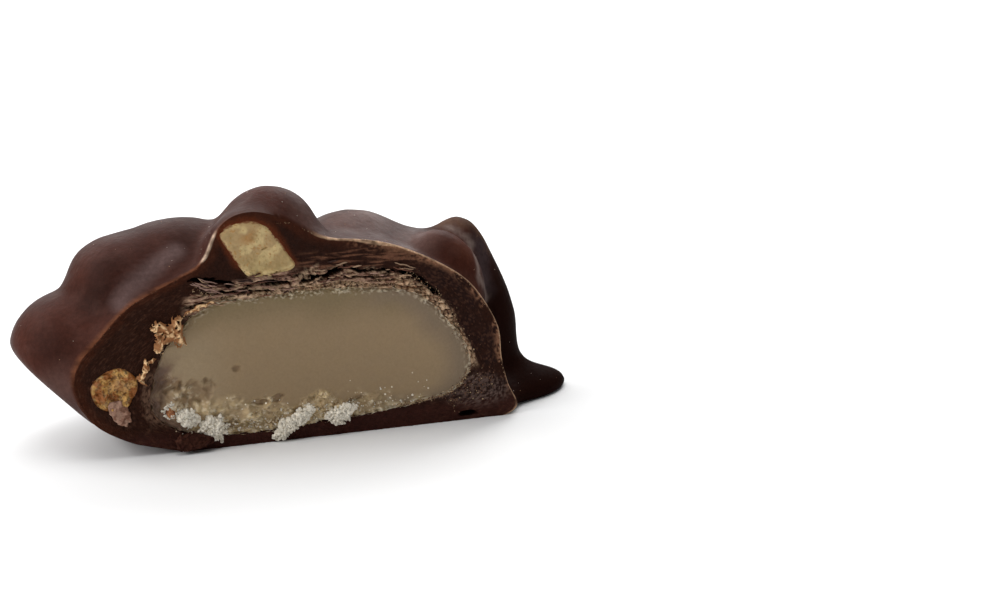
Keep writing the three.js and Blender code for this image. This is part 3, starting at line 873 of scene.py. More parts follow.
def makeCoat():
    rings = coat["backRings"] + coat["cutRings"] + coat["hollowRings"]
    ball = ballMesh("chocolateCoat", coat["around"], rings)
    mesh, ring, step = ball
    outer = outerGrid()
    print("coat: outside found")
    away = noiseAt(outer, 0.16, 2) * coat["wave"] + noiseAt(outer, 0.5, 2, 9.0) * coat["ripple"]
    flat = np.ones(len(outer))
    flat[-len(coat["rimShare"]):] = coat["rimShare"]
    outward = outer - np.array(coat["heart"])
    outward /= np.linalg.norm(outward, axis=-1, keepdims=True)
    outward[..., 1] *= ease(1.5, 5, outer[..., 1])
    above = ease(0.3, 2.5, outer[..., 2] - footLevel(outer[..., 0]))
    outer = outer - outward * (np.abs(away) * flat[:, None] * above)[..., None]
    cut, cutTint, steps, reach = cutGrid(outer[-1])
    hollow = hollowGrid(cut[-1], steps, reach)
    grid = np.concatenate([outer, cut[1:], hollow])
    grid[..., 2] = np.maximum(grid[..., 2], foot["cut"])
    tint = np.concatenate([
        skinColour(outer[:-1]), cutTint, np.broadcast_to(cutColours["dark"], hollow.shape),
    ])
    fillBall(ball, grid, tint)
    sheen = np.concatenate([sheenOf(outer[:-1]), np.ones(grid.shape[:2])[len(outer) - 1:]])
    mesh.attributes.new("sheen", "FLOAT", "POINT").data.foreach_set("value", sheen[ring, step])
    mesh.update()
    lowest = np.array([min(ring[v] for v in p.vertices) for p in mesh.polygons])
    mesh.polygons.foreach_set("material_index", (lowest >= coat["backRings"]).astype(np.int32))
    piece = finished(mesh, "chocolateCoat", [skinFinish, cutFinish], 60)
    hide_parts("chocolate_coat")
    return outer


outerPoints = makeCoat()


# A piece that shows in the cut: its looks give the front's depth and tint, and its back is plain.
def makeCutPiece(name, cadNode, shape, form, looks, backTint, finish, edge=None):
    ball = ballMesh(name, form["around"], form["backRings"] + form["frontRings"])
    steps = np.arange(form["around"]) / form["around"] * turn
    mx, mz = shape["middle"]
    even = shape["radius"](steps) + form["room"]
    reach = even
    if edge:
        reach = even + edge(mx + even * np.cos(steps), mz + even * np.sin(steps))
    back = (1 - np.arange(form["backRings"] + 1) / form["backRings"])[:, None] * math.pi / 2
    across = even * np.cos(back)
    across[-1] = reach
    y = shape["depth"] * np.sin(back) * np.ones_like(across)
    leanX, leanZ = (lean * y / shape["depth"] for lean in shape["lean"])
    behind = np.stack([mx + leanX + across * np.cos(steps), y, mz + leanZ + across * np.sin(steps)], -1)
    t = ((np.arange(form["frontRings"] + 1) / form["frontRings"]) ** form["closer"])[:, None]
    x, z = mx + reach * (1 - t) * np.cos(steps), mz + reach * (1 - t) * np.sin(steps)
    depth, tint = looks(x, z, reach * t * np.ones_like(x))
    grid = np.concatenate([behind, np.stack([x, depth, z], -1)[1:]])
    fillBall(ball, grid, np.concatenate([np.broadcast_to(backTint, behind[1:].shape), tint]))
    piece = finished(ball[0], name, finish)
    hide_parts(cadNode)


cream = {
    "around": 560,
    "backRings": 14,
    "frontRings": 124,
    "room": 0.14,
    "closer": 1.7,  # rings lie closer together towards the edge
    "proud": 0.9,  # the most that it stands out of the cut
    "hollows": [  # middle, half sizes, lean, depth
        ((-12.8, 7.0), (2.4, 1.3), 24, 0.4), ((-15.6, 8.0), (1.5, 0.8), -10, 0.4),
        ((-7.9, 9.3), (0.45, 0.3), 10, 0.2), ((-4.4, 4.9), (1.9, 0.5), 8, 0.35),
        ((-8.9, 2.6), (1.2, 0.5), 10, 0.35), ((6.2, 4.1), (1.0, 0.3), 20, 0.25),
    ],
    "lumps": [
        ((-14.6, 5.6), (1.6, 1.1), 20, 0.3), ((-6.6, 3.9), (2.0, 1.0), 0, 0.3),
        ((-10.6, 5.0), (1.5, 0.8), 10, 0.3), ((1.8, 4.0), (2.2, 0.9), 10, 0.25),
        ((7.9, 4.1), (1.6, 0.5), 12, 0.2),
    ],
    "grey": ((-16.2, 6.6), (2.4, 4.2), 6),
}
creamNoise = {
    "edge": (0.9, 0.9, 4, 0.0),
    "soft": (0.4, 0.4, 3, 0.0),
    "fine": (2.8, 2.8, 3, 9.0),
    "warp": (0.9, 0.9, 3, 0.0),
    "dimple": (1.6, 1.6, 3, 0.0),
    "slow": (0.25, 0.25, 2, 0.0),
    "crumb": (0.6, 0.6, 3, 3.0),
    "uneven": (0.8, 0.8, 4, 12.0),
    "patch": (0.16, 0.16, 3, 8.0),
    "ragged": (0.8, 0.8, 3, 22.0),
}
creamColours = {
    "middle": shown(125, 105, 78),
    "top": shown(107, 91, 64),
    "edge": shown(106, 90, 71),
    "left": shown(132, 114, 88),
    "low": shown(170, 149, 113),
    "grey": shown(112, 88, 68),
    # painted shade in the filling's hollows and between its lumps
    "hollow": shown(110, 86, 60),
    "white": shown(196, 184, 160),
    "rim": shown(80, 58, 46),
}


def creamEdge(x, z):
    return (0.25 + 0.35 * ease(-6, -13, x)) * flatNoise(x, z, creamNoise["edge"])


# Height of the line below which the filling is crumbly and sugary.
def lowLine(x):
    return 4.6 + 1.2 * ease(-4, -11, x) + 3.4 * ease(-12.5, -16, x) - 1.2 * ease(7, 14, x)


def creamLooks(x, z, fromEdge):
    def noiseOf(name):
        return flatNoise(x, z, creamNoise[name])

    fine, warp, patch = noiseOf("fine"), noiseOf("warp"), noiseOf("patch")
    crumbly = ease(0.9, -0.7, z - lowLine(x) + 1.5 * noiseOf("soft"))
    big, bigOwn = cellsAt(x + 0.9 * warp, z + 0.6 * fine, 1.3)
    small, smallOwn = cellsAt(x + 0.3 * warp, z, 0.45, 5.0)
    lumps, bits = ease(0.0, 0.4, big) * bigOwn, ease(0.0, 0.4, small) * smallOwn
    worn = ease(0.9, 0.0, fromEdge + 0.5 * fine)
    depth = 0.02 * noiseOf("dimple") + 0.05 * noiseOf("slow")
    depth += crumbly * (0.2 - 0.4 * lumps - 0.16 * bits + 0.12 * fine + 0.4 * noiseOf("crumb"))
    depth += worn * (0.1 + 0.3 * fine)
    uneven = 0.9 * noiseOf("uneven")
    shade = np.zeros_like(x)
    for at, half, lean, deep in cream["hollows"]:
        inside = ease(1.1, 0.6, inOval(x, z, at, half, lean) + uneven)
        depth += deep * inside
        shade = np.maximum(shade, inside)
    for at, half, lean, high in cream["lumps"]:
        depth -= high * ease(1.1, 0.3, inOval(x, z, at, half, lean) + uneven)
    depth = np.maximum(depth, -cream["proud"]) * ease(0, 0.15, fromEdge)
    grey = ease(1.3, 0.5, inOval(x, z, *cream["grey"]) + uneven)
    ragged = fromEdge + 1.1 * noiseOf("ragged")
    merge = ease(2.8, 0.6, ragged) * ease(-11.5, -14.5, x) * ease(12.0, 9.5, z)
    tint = np.broadcast_to(creamColours["middle"], x.shape + (3,)).copy()
    for name, share in (
        ("top", ease(12.5, 16.8, z + 1.5 * patch)),
        ("edge", ease(4.5, 0.8, fromEdge + 1.2 * patch) * ease(4, 12, x)),
        ("left", ease(-7, -13, x) * ease(15, 12, z)),
        ("low", crumbly * (0.3 + 0.7 * bigOwn)),
        ("grey", grey * (0.3 + 0.4 * smallOwn)),
        # painted shade in the hollows and in the gaps between the crumbly lumps
        ("hollow", shade * 0.6),
        ("hollow", crumbly * ease(0.14, 0.0, big + 0.1 * fine) * 0.35),
        ("white", crumbly * ease(0.5, 0.9, smallOwn + 0.4 * bigOwn - 0.2) * ease(0, 0.2, small) * 0.6),
        ("white", worn * ease(0.0, -0.3, fine) * ease(-14, -10, x) * 0.5),
        ("rim", merge * 0.92),
    ):
        tint = blend(tint, creamColours[name], share)
    # painted shade in the deepest dips of the worn edge, on its left part
    dark = worn * ease(0.1, 0.4, fine) * ease(1, -4, x)
    return depth, blend(tint, creamColours["hollow"] * 0.7, dark * 0.8)


makeCutPiece(
    "creamFilling", "cream_filling", creamShape, cream, creamLooks,
    creamColours["middle"], creamFinish, creamEdge,
)

nut = {"around": 200, "backRings": 16, "frontRings": 64, "room": 0.16, "closer": 1}
nutColours = {
    "flesh": shown(147, 122, 83),
    "pale": shown(168, 147, 103),
    "stain": shown(140, 100, 52),
    "low": shown(134, 113, 70),
    "skin": shown(92, 48, 22),
    "mottle": shown(122, 70, 26),
    "gold": shown(158, 120, 64),
    "pink": shown(138, 104, 78),
}
topNoise = {
    "cutMark": (0.7, 0.7, 3, 0.0),
    "scratch": (2.8, 2.8, 2, 6.0),
    "ragged": (1.8, 1.8, 3, 16.0),
    "soft": (0.6, 0.6, 3, 4.0),
    "fleck": (3.2, 3.2, 2, 8.0),
    "patch": (1.3, 1.3, 3, 18.0),
}
leftNoise = {
    "rough": (1.0, 1.0, 3, 2.0),
    "fine": (2.6, 2.6, 3, 6.0),
    "soft": (1.0, 1.0, 3, 14.0),
    "fleck": (2.4, 2.4, 3, 5.0),
}
topDent = ((-4.2, 22.9), (0.5, 0.16), 25)
topStain = ((-5.9, 24.1), (1.2, 0.9), 20)
leftPink = ((-20.9, 8.7), (1.2, 0.9), 10)


def topLooks(x, z, fromEdge):
    soft, fleck, patch = (flatNoise(x, z, topNoise[name]) for name in ("soft", "fleck", "patch"))
    cutMark = 0.06 * flatNoise(x, z, topNoise["cutMark"]) + 0.03 * flatNoise(x, z, topNoise["scratch"])
    dent = 0.22 * ease(1.0, 0.4, inOval(x, z, *topDent))
    ragged = ease(1.0, 0.2, fromEdge) * ease(22.0, 20.0, z) * flatNoise(x, z, topNoise["ragged"])
    depth = -0.12 * ease(0, 0.5, fromEdge) + (cutMark + 0.4 * ragged) * ease(0, 0.3, fromEdge) + dent
    tint = np.broadcast_to(nutColours["flesh"], x.shape + (3,))
    for name, tone, share in (
        ("pale", 1, ease(-0.1, 0.4, soft)),
        ("low", 1, ease(23.2, 21.0, z + 0.6 * soft) * 0.6),
        ("pale", 1, ease(1.0, 0.3, fromEdge + 0.6 * soft) * ease(21.6, 20.4, z)),
        ("stain", 1, ease(1.3, 0.2, inOval(x, z, *topStain) + 0.5 * soft) * 0.75),
        ("stain", 1, ease(0.3, 0.6, fleck) * 0.7),
        ("low", 0.8, ease(0.1, 0.5, patch) * 0.3),
        ("skin", 1, ease(0.3, 0.06, fromEdge + 0.25 * fleck) * ease(20.4, 21.5, z) * 0.9),
    ):
        tint = blend(tint, nutColours[name] * tone, share)
    return depth, tint


def leftLooks(x, z, fromEdge):
    soft, fleck = flatNoise(x, z, leftNoise["soft"]), flatNoise(x, z, leftNoise["fleck"])
    rough = 0.4 * flatNoise(x, z, leftNoise["rough"]) + 0.2 * flatNoise(x, z, leftNoise["fine"])
    depth = rough * ease(0, 0.4, fromEdge) + 0.15 * ease(0.5, 0, fromEdge)
    tint = np.broadcast_to(nutColours["gold"], x.shape + (3,))
    for name, tone, share in (
        ("flesh", 1, ease(0.1, 0.5, fleck)),
        ("mottle", 1, ease(-0.15, 0.25, soft) * 0.95),
        ("pink", 1, ease(1.2, 0.4, inOval(x, z, *leftPink) + soft) * 0.35),
        ("stain", 0.5, ease(0.12, 0.4, fleck) * ease(0.2, 0.9, fromEdge) * 0.8),
        ("skin", 1, ease(0.35, 0.08, fromEdge + 0.15 * soft) * 0.85),
    ):
        tint = blend(tint, nutColours[name] * tone, share)
    return depth, tint


for name, cadNode, shape, looks in (
    ("nutTop", "nut_top", nutTopShape, topLooks),
    ("nutLeft", "nut_left", nutLeftShape, leftLooks),
):
    makeCutPiece(name, cadNode, shape, nut, looks, nutColours["skin"], nutFinish)


# The points and faces of one small form, to be copied many times.
def formOf(bm):
    bm.verts.index_update()
    points = np.array([v.co[:] for v in bm.verts])
    faces = np.array([[v.index for v in f.verts] for f in bm.faces])
    bm.free()
    return points, faces


# One mesh of many copies of a form: the points of each, and its tint.
def joined(name, faces, copies):
    count = len(copies[0][0])
    allFaces = (faces[None] + (np.arange(len(copies)) * count)[:, None, None]).reshape(-1, 3)
    mesh = bpy.data.meshes.new(name)
    points = np.concatenate([points for points, _ in copies])
    mesh.from_pydata(inFrame(points).tolist(), [], allFaces.tolist())
    paint(mesh, "tint", np.concatenate([np.repeat([colour], count, 0) for _, colour in copies]))
    return mesh


# Many small grains: each is a turned copy of one small ball, with its own size and tint.
def scatter(name, places, material, detail=1, jitter=0.3, smooth=True):
    bm = bmesh.new()
    bmesh.ops.create_icosphere(bm, subdivisions=detail, radius=1)
    ball, faces = formOf(bm)
    copies = []
    for at, size, colour in places:
        spin = np.array(Euler([random.uniform(0, turn) for _ in range(3)]).to_matrix())
        uneven = 1 + jitter * np.array([random.uniform(-1, 1) for _ in ball])[:, None]
        copies.append(((ball * uneven * np.asarray(size)) @ spin.T + np.asarray(at), colour))
    mesh = joined(name, faces, copies)
    finished(mesh, name, material)
    if not smooth:
        mesh.shade_flat()


def shade(colour, low, high):
    return colour * random.uniform(low, high)


# Crumbs of fondant pushed out over the lower edge. A clump has a middle [x, z], half sizes, a lean and
# a count, and the ring lies round the small brown bit.
crumbs = {
    "clumps": [
        ((-13.7, 4.1), (1.4, 0.9), -40, 190), ((-10.7, 2.5), (1.6, 1.4), -30, 380),
        ((-1.4, 2.1), (2.9, 1.1), 35, 480), ((4.5, 2.6), (1.9, 1.0), 10, 270),
    ],
    "size": (0.14, 0.32),
    "room": 0.27,  # crystals of a clump keep about this far apart
    "tries": 14,  # for each crystal
    "loose": 360,
    "looseAlong": (-16, 15, -6),  # least x, most x and the x where they lie closest
    "looseSize": (0.05, 0.15),
    "ring": {"at": (-15.6, 5.1), "count": 90, "away": (0.74, 0.12), "size": (0.05, 0.14)},
    "white": shown(238, 230, 214),
    "dull": shown(170, 153, 126),
}


# Each crystal of a clump grows on an earlier one, so that the clump gets a ragged outline.
def crystalClump(at, half, lean, count):
    grown = [((at[0], -0.25, at[1]), crumbs["size"][1])]
    taken, room = set(), crumbs["room"]
    for _ in range(count * crumbs["tries"]):
        (x, y, z), held = random.choice(grown)
        size = random.triangular(*crumbs["size"], crumbs["size"][0])
        way = Vector([random.gauss(0, 1) for _ in range(3)]).normalized() * (held + size) * 0.9
        x, y, z = x + way.x, y + 0.7 * way.y, z + way.z
        far = inOval(x, z, at, half, lean)
        far += 0.5 * noise.noise((x * 1.5, at[0], z * 1.5)) + 0.4 * noise.noise((x * 4, at[1], z * 4))
        high = 1.1 * math.sqrt(max(1 - far * far, 0)) - size * 1.4
        cell = (round(x / room), round(y / room), round(z / room))
        clear = z > footCut + 1.5 * size and -max(high, 0.1) < y < 0.1
        if cell not in taken and far < 1 and clear and len(grown) < count:
            taken.add(cell)
            grown.append(((x, y, z), size))
    return grown


def fondantCrumbs():
    places = []
    for clump in crumbs["clumps"]:
        for place, size in crystalClump(*clump):
            shape = size * np.array([1.2, 0.75, random.uniform(0.6, 1.1)])
            places.append((place, shape, shade(crumbs["white"], 0.85, 1.12)))
    for _ in range(crumbs["loose"]):
        x = random.triangular(*crumbs["looseAlong"])
        low = 1.9 + 0.35 * noise.noise((x * 0.6, 0, 0)) + 0.09 * max(x, 0)
        z = low + abs(random.gauss(0, 1)) * 1.0
        size = random.triangular(*crumbs["looseSize"], crumbs["looseSize"][0])
        colour = crumbs["white"] if random.random() < 0.4 else crumbs["dull"]
        places.append(((x, -size * random.uniform(-0.3, 0.8), z), size, shade(colour, 0.75, 1.05)))
    ring = crumbs["ring"]
    for _ in range(ring["count"]):
        way, far = random.uniform(0, turn), random.gauss(*ring["away"])
        x, z = ring["at"][0] + far * math.cos(way), ring["at"][1] + far * math.sin(way)
        place = (x, -random.uniform(0.2, 0.5), z)
        places.append((place, random.uniform(*ring["size"]), shade(crumbs["white"], 0.7, 1.0)))
    scatter("fondantCrumbs", places, crystalFinish, 2, 0.16)


fondantCrumbs()

# Grains of the dry crumb on the flaky layer and down the right side of the filling.
granules = {
    "tan": shown(162, 138, 108),
    "brown": shown(98, 66, 46),
    "dark": shown(46, 28, 20),
    "size": (0.03, 0.11),
    "paths": {
        "right": [
            (12.2, 18.2), (14.1, 17.2), (16.0, 15.4), (17.4, 13.6), (18.3, 12.2), (19.4, 10.2), (20.3, 7.6),
        ],
        "top": [
            (-12.6, 18.8), (-9.0, 17.5), (-5.0, 17.6), (-1.2, 17.5), (3.0, 17.9), (7.0, 17.9), (12.2, 17.3),
        ],
        "low": [(11.0, 2.7), (14.5, 3.1), (17.2, 3.5), (19.3, 4.8), (20.5, 6.8)],
        "powder": [(17.2, 2.6), (20.0, 4.0), (23.2, 4.4)],
    },
    "rows": [  # path, count, spread, share of tan and share of brown
        ("right", 420, 0.45, 0.5, 0.3), ("top", 700, 0.2, 0.6, 0.3), ("low", 700, 0.14, 0.5, 0.35),
        ("powder", 500, 0.75, 0.1, 0.6), ("rim", 500, 0.05, 0.7, 0.25),
    ],
    "rimSize": 0.55,  # the share of that size that the grains on the rim have
}


def alongPath(path, spread):
    lengths = [math.dist(a, b) for a, b in zip(path[:-1], path[1:])]
    i = random.choices(range(len(lengths)), lengths)[0]
    (ax, az), (bx, bz) = path[i], path[i + 1]
    t, off = random.random(), random.gauss(0, spread)
    nx, nz = -(bz - az) / lengths[i], (bx - ax) / lengths[i]
    return ax + (bx - ax) * t + nx * off, az + (bz - az) * t + nz * off, (nx, nz)


def tanGranules():
    places = []
    rim = [(x, z) for x, _, z in outerPoints[-1][::4] if z > 5 and not (-8.5 < x < -1.5)]
    paths = {**granules["paths"], "rim": [(x * 0.995, z - 0.06) for x, z in rim]}
    for key, count, spread, tan, brown in granules["rows"]:
        for _ in range(count):
            x, z, _ = alongPath(paths[key], spread)
            pick = random.random()
            colour = granules["tan" if pick < tan else "brown" if pick < tan + brown else "dark"]
            size = random.triangular(*granules["size"], granules["size"][0])
            shape = np.array([size, size * 0.7, size * random.uniform(0.5, 1)])
            if key == "rim":
                shape, colour = shape * granules["rimSize"], granules["tan" if x > -2 else "brown"]
            places.append(((x, -random.uniform(-0.1, 0.12), z), shape, shade(colour, 0.75, 1.15)))
    scatter("tanGranules", places, flakeFinish, 1, 0.35, smooth=False)


tanGranules()

# Thin plates of the flaky layer, on edge in the cut.
plates = {
    "tan": shown(150, 122, 98),
    "pink": shown(132, 104, 92),
    "brown": shown(84, 52, 38),
    "dark": shown(44, 24, 17),
    "rows": [  # path, spread, count, lengths, colour of most of them
        ([(-12.2, 19.4), (-11.1, 19.0), (-8.6, 18.3), (-6.6, 18.3)], 0.5, 20, (0.8, 2.6), "pink"),
        ([(-12.6, 18.0), (-10.4, 17.2), (-8.4, 17.0)], 0.3, 10, (0.8, 2.2), "tan"),
        ([(-6.6, 19.1), (-4.0, 19.4), (-0.6, 19.1)], 0.35, 12, (1.0, 2.6), "brown"),
        ([(-6.6, 17.9), (-3.0, 17.8), (1.0, 17.9), (4.6, 18.4)], 0.25, 16, (0.6, 2.0), "brown"),
        ([(-1.0, 18.2), (1.6, 18.5), (4.4, 18.9), (7.4, 18.7)], 0.2, 14, (0.5, 1.6), "tan"),
        ([(7.8, 18.6), (10.6, 18.6), (13.2, 17.7)], 0.25, 14, (0.5, 1.6), "tan"),
        ([(1.0, 20.3), (6.8, 20.2), (12.6, 19.3)], 0.4, 8, (1.2, 3.0), "brown"),
    ],
    "thick": 0.07,
    "wide": (0.12, 0.45),
    "segments": 7,
}


# One flat plate of size 1, to be copied: it runs along x, and z is its thickness.
def plateForm():
    bm = bmesh.new()
    bmesh.ops.create_grid(bm, x_segments=plates["segments"], y_segments=1, size=0.5)
    extruded = bmesh.ops.extrude_face_region(bm, geom=bm.faces[:])
    raised = [v for v in extruded["geom"] if isinstance(v, bmesh.types.BMVert)]
    bmesh.ops.translate(bm, verts=raised, vec=(0, 0, 1))
    bmesh.ops.recalc_face_normals(bm, faces=bm.faces[:])
    bmesh.ops.triangulate(bm, faces=bm.faces[:])
    return formOf(bm)


def flakePlates():
    plate, faces = plateForm()
    u, v, w = plate.T
    copies = []
    for path, spread, count, lengths, kind in plates["rows"]:
        for _ in range(count):
            x, z, (nx, nz) = alongPath(path, spread)
            length, wide = random.uniform(*lengths), random.uniform(*plates["wide"])
            lie = math.atan2(-nx, nz) + random.gauss(0, 0.09)
            ragged = np.array([noise.noise((a * length * 2.2, b * 3, x + z)) for a, b in zip(u, v)])
            waves = np.array([noise.noise((a * length * 1.3, x, z)) for a in u])
            taper = 1 - 0.85 * np.abs(u * 2) ** 2
            along = u * length
            bend = random.uniform(-0.2, 0.2) * length
            up = w * plates["thick"] * (0.6 + taper) + bend * u * u + 0.14 * waves
            out = 0.12 - (v + 0.5) * wide * taper * (1 + 0.9 * ragged)
            points = np.stack([
                x + along * math.cos(lie) - up * math.sin(lie), np.maximum(out, -0.6),
                z + along * math.sin(lie) + up * math.cos(lie),
            ], -1)
            mixed = kind if random.random() < 0.55 else random.choice(["tan", "pink", "brown", "dark"])
            copies.append((points, shade(plates[mixed], 0.7, 1.15)))
    finished(joined("flakePlates", faces, copies), "flakePlates", flakeFinish, 40)


flakePlates()

# Papery, crumpled scraps at the left edge of the filling.
curls = {
    "sheets": [  # middle [x, z], half length, half width, lean, how far it stands out
        ((-15.9, 14.7), 1.8, 0.7, -16, 0.8), ((-14.5, 14.3), 0.7, 1.8, 8, 1.1),
        ((-15.7, 13.7), 1.4, 0.6, 28, 0.9), ((-16.5, 13.2), 0.5, 1.2, -10, 0.7),
        ((-13.2, 16.2), 1.3, 0.22, 24, 0.35), ((-11.6, 16.9), 1.2, 0.18, 12, 0.3),
        ((-18.3, 10.1), 0.4, 1.2, -22, 0.7), ((-18.7, 9.1), 0.34, 0.8, 12, 0.6),
        ((-17.6, 11.2), 0.6, 0.2, 40, 0.4),
    ],
    "segments": 30,
    "thick": 0.04,
    # two tones of the scraps, laid by their folds: partly their own colour, partly painted shade in the
    # folds and painted highlight where they stand out
    "pale": shown(220, 184, 138),
    "brown": shown(124, 82, 48),
}


def paperyCurls():
    steps = curls["segments"]
    bm = bmesh.new()
    tints = bm.verts.layers.float_color.new("tint")
    for number, (middle, long, wide, lean, stand) in enumerate(curls["sheets"]):
        c, s = math.cos(math.radians(lean)), math.sin(math.radians(lean))
        sheet = bmesh.ops.create_grid(bm, x_segments=steps, y_segments=steps, size=1)["verts"]
        torn = []
        for v in sheet:
            u, w = v.co.x, v.co.y
            a, b = u * long, w * wide
            at = Vector((a * 0.9 + number * 9, b * 0.9, 2.0))
            folds = abs(noise.noise(at)) + 0.5 * abs(noise.noise(at * 2.3))
            folds += 0.25 * abs(noise.noise(at * 5))
            shift = noise.noise_vector(at * 1.4) * 0.45
            edge = max(abs(u), abs(w)) + 0.7 * noise.noise(at * 2.9) + 0.4 * noise.noise(at * 6)
            if edge > 1.0 or noise.noise(at * 3.7 + Vector((5, 0, 0))) > 0.5:
                torn.append(v)
            a, b = a + shift.x, b + shift.y * 0.6
            bulge = max(1 - 0.7 * (u * u + w * w), 0)
            out = 0.2 + stand * (bulge * 0.7 - 0.75 * folds + 0.3)
            v.co = Vector((middle[0] + a * c - b * s, -min(max(out, 0.06), 1.3), middle[1] + a * s + b * c))
            # brown in the folds and pale where the sheet stands out: partly its own tones, partly painted
            # shade and highlight
            v[tints] = (*blend(curls["pale"], curls["brown"], ease(0.1, 0.36, np.array(folds))), 1)
        bmesh.ops.delete(bm, geom=torn, context="VERTS")
    bmesh.ops.delete(bm, geom=[v for v in bm.verts if not v.link_faces], context="VERTS")
    bm.normal_update()
    mesh = bpy.data.meshes.new("paperyCurls")
    bm.to_mesh(mesh)
    bm.free()
    at = np.array([v.co[:] for v in mesh.vertices])
    mesh.vertices.foreach_set("co", inFrame(at).ravel())
    piece = finished(mesh, "paperyCurls", flakeFinish, 50)
    wall = piece.modifiers.new("wall", "SOLIDIFY")
    wall.thickness, wall.offset = curls["thick"] * 0.001, 0


paperyCurls()

# A chip of chocolate at the foot of the cut, and a pinkish smear that hangs from the left nut.
slabs = {
    "footChip": {
        "outline": [
            (-15.0, 0.75), (-15.1, 1.5), (-14.6, 2.2), (-13.6, 2.3), (-12.2, 2.2), (-11.2, 2.0),
            (-10.9, 1.3), (-11.6, 0.9), (-12.9, 0.62), (-14.2, 0.45),
        ],
        "stand": 1.15, "sunk": 0.5, "rough": 0.34,
        "colour": shown(42, 20, 14), "other": shown(62, 36, 27),
    },
    "nutSmear": {
        "outline": [
            (-22.5, 6.9), (-21.2, 6.9), (-20.3, 6.0), (-20.0, 4.6), (-20.5, 3.9), (-21.6, 4.2),
            (-21.9, 4.9), (-22.5, 5.5),
        ],
        "stand": 0.12, "sunk": 0.3, "rough": 0.24,
        "colour": shown(140, 110, 94), "other": shown(104, 74, 60),
    },
    "nutBit": {
        "outline": [
            (-16.1, 4.9), (-16.0, 5.4), (-15.6, 5.6), (-15.2, 5.4), (-15.1, 4.9), (-15.3, 4.4),
            (-15.8, 4.3),
        ],
        "stand": 0.34, "sunk": 0.2, "rough": 0.1,
        "colour": shown(150, 100, 58), "other": shown(112, 66, 36),
    },
}
slabForm = {"bevel": 0.16, "raised": 0.1, "rounds": 3, "farthest": 1.4}


def slab(name, finish):
    form = slabs[name]
    bm = bmesh.new()
    corners = [bm.verts.new((x, form["sunk"], z)) for x, z in form["outline"]]
    base = bm.faces.new(corners)
    raised = bmesh.ops.extrude_face_region(bm, geom=[base])["geom"]
    tops = [v for v in raised if isinstance(v, bmesh.types.BMVert)]
    bmesh.ops.translate(bm, verts=tops, vec=(0, -form["stand"] - form["sunk"], 0))
    top = [f for f in bm.faces if all(v in tops for v in f.verts)]
    bmesh.ops.inset_region(bm, faces=top, thickness=slabForm["bevel"])
    inner = [v for f in bm.faces if f in top for v in f.verts]
    bmesh.ops.translate(bm, verts=inner, vec=(0, -slabForm["raised"], 0))
    bmesh.ops.triangulate(bm, faces=bm.faces[:])
    for _ in range(slabForm["rounds"]):
        bmesh.ops.subdivide_edges(bm, edges=bm.edges[:], cuts=1, use_grid_fill=True)
    bmesh.ops.smooth_vert(
        bm, verts=bm.verts[:], factor=0.5, use_axis_x=True, use_axis_y=True, use_axis_z=True
    )
    for v in bm.verts:
        broad, fine = noise.noise_vector(v.co * 1.7), noise.noise_vector(v.co * 4.5)
        v.co += broad * form["rough"] + fine * form["rough"] * 0.4
        v.co.y = max(v.co.y, -slabForm["farthest"])
        v.co.z = max(v.co.z, footCut)
    bmesh.ops.recalc_face_normals(bm, faces=bm.faces[:])
    mesh = bpy.data.meshes.new(name)
    bm.to_mesh(mesh)
    bm.free()
    at = np.array([v.co[:] for v in mesh.vertices])
    soft = noiseAt(at, 1.6, 3)
    tint = blend(np.broadcast_to(form["colour"], at.shape), form["other"], ease(-0.1, 0.35, soft))
    paint(mesh, "tint", tint)
    mesh.vertices.foreach_set("co", inFrame(at).ravel())
    finished(mesh, name, finish)


slab("footChip", cutFinish)
slab("nutSmear", cutFinish)
slab("nutBit", nutFinish)

# Glistening sugar grains low on the filling, and pale dust on the dipped outside.
sparkle = {
    "spots": [
        (5.4, 6.5), (5.7, 4.1), (6.7, 4.9), (8.0, 3.8), (9.6, 4.4), (-3.0, 5.1), (-4.6, 4.9),
        (-0.3, 4.4), (1.5, 3.5), (3.2, 4.2), (-9.1, 6.0), (-7.4, 4.5), (-7.0, 5.0), (10.4, 5.2),
        (9.0, 5.3), (-10.5, 3.0),
    ],
    "stands": 0.35,
    "more": 34,
    "size": (0.05, 0.11),
    "colour": shown(205, 196, 176),
}
dust = {
    "tries": 820,
    "apart": 1.1,
    "lowest": 1.5,
    "size": (0.025, 0.07),
    "pale": linear(190, 172, 158),
    "tan": linear(150, 112, 84),
}


def sugarGrains():
    places, colour = [], sparkle["colour"]
    for x, z in sparkle["spots"]:
        places.append(((x, -sparkle["stands"], z), random.uniform(*sparkle["size"]) * 1.2, colour))
    for _ in range(sparkle["more"]):
        x = random.uniform(-14, 15)
        z = 2.2 + 0.1 * max(x, 0) + abs(random.gauss(0, 1.0))
        places.append(((x, -random.uniform(0.1, 0.4), z), random.uniform(*sparkle["size"]), colour))
    scatter("sugarGrains", places, sugarFinish, 1, 0.2, smooth=False)


def dustSpecks():
    rows = coat["backRings"]
    places, taken = [], set()
    for _ in range(dust["tries"]):
        k, i = random.randint(4, rows - 1), random.randrange(coat["around"])
        at = outerPoints[k, i]
        cell = tuple(np.round(at / dust["apart"]))
        if at[2] < dust["lowest"] or noise.noise(Vector(at) * 0.18) < -0.15 or cell in taken:
            continue
        taken.add(cell)
        colour = dust["pale"] if random.random() < 0.6 else dust["tan"]
        places.append((at, random.uniform(*dust["size"]), shade(colour, 0.7, 1.1)))
    scatter("dustSpecks", places, flakeFinish, 1, 0.2)


sugarGrains()
dustSpecks()

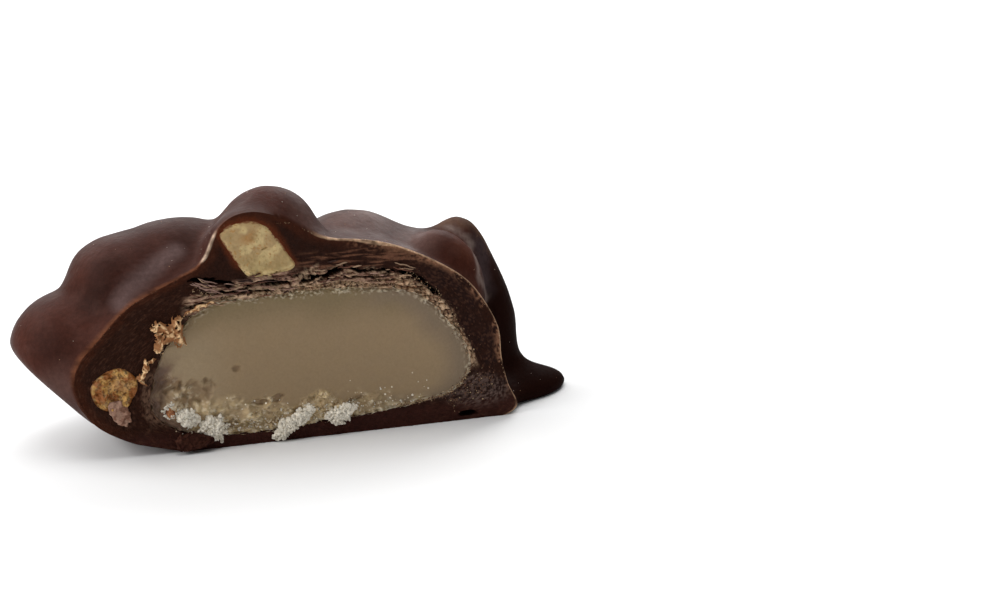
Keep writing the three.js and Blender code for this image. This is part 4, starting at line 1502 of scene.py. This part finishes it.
# A pale floor, soft light from above, the left and behind, and the camera.
studio = {
    "floor": (0.8, 0.8, 0.8),
    "world": 0.12,
    "lights": [  # name, power, size, place
        ("top", 1.5, 0.45, (0.0, 0.0, 0.5)), ("side", 1.2, 0.3, (-0.33, 0.22, 0.36)),
        ("left", 1.4, 0.3, (-0.42, -0.05, 0.22)), ("backRight", 1.8, 0.3, (0.26, 0.32, 0.285)),
        ("back", 1.1, 0.35, (-0.05, 0.42, 0.25)),
    ],
}


def makeStudio():
    bm = bmesh.new()
    bmesh.ops.create_grid(bm, x_segments=1, y_segments=1, size=3)
    mesh = bpy.data.meshes.new("floor")
    bm.to_mesh(mesh)
    bm.free()
    paper, shader = surface("paper", 0.9, Specular_IOR_Level=0.1)
    shader.inputs["Base Color"].default_value = (*studio["floor"], 1)
    mesh.materials.append(paper)
    floor = bpy.data.objects.new("floor", mesh)
    bpy.context.scene.collection.objects.link(floor)
    world = bpy.data.worlds.new("studio")
    world.use_nodes = True
    sky = world.node_tree.nodes["Background"]
    sky.inputs["Color"].default_value = (1, 1, 1, 1)
    sky.inputs["Strength"].default_value = studio["world"]
    bpy.context.scene.world = world
    for name, power, size, at in studio["lights"]:
        light = bpy.data.lights.new(name, "AREA")
        light.shape, light.size, light.energy = "SQUARE", size, power
        lamp = bpy.data.objects.new(name, light)
        lamp.location = at
        lamp.rotation_euler = (Vector((0, 0, 0.01)) - lamp.location).to_track_quat("-Z", "Y").to_euler()
        bpy.context.scene.collection.objects.link(lamp)


view = {"azimuth": -20.66, "elevation": 15, "distance": 0.273, "lens": 84.2, "at": (23.906, 0, 14.469)}


def makeCamera():
    a, e = math.radians(view["azimuth"]), math.radians(view["elevation"])
    back = Vector((math.sin(a) * math.cos(e), -math.cos(a) * math.cos(e), math.sin(e)))
    lens = bpy.data.cameras.new("camera")
    lens.lens, lens.sensor_width = view["lens"], 36
    lens.clip_start, lens.clip_end = 0.01, 10
    camera = bpy.data.objects.new("camera", lens)
    camera.location = Vector(inFrame(view["at"])) + back * view["distance"]
    camera.rotation_euler = (-back).to_track_quat("-Z", "Y").to_euler()
    bpy.context.scene.collection.objects.link(camera)
    bpy.context.scene.camera = camera


makeStudio()
makeCamera()
bpy.context.scene.view_settings.view_transform = "Standard"
bpy.context.view_layer.update()
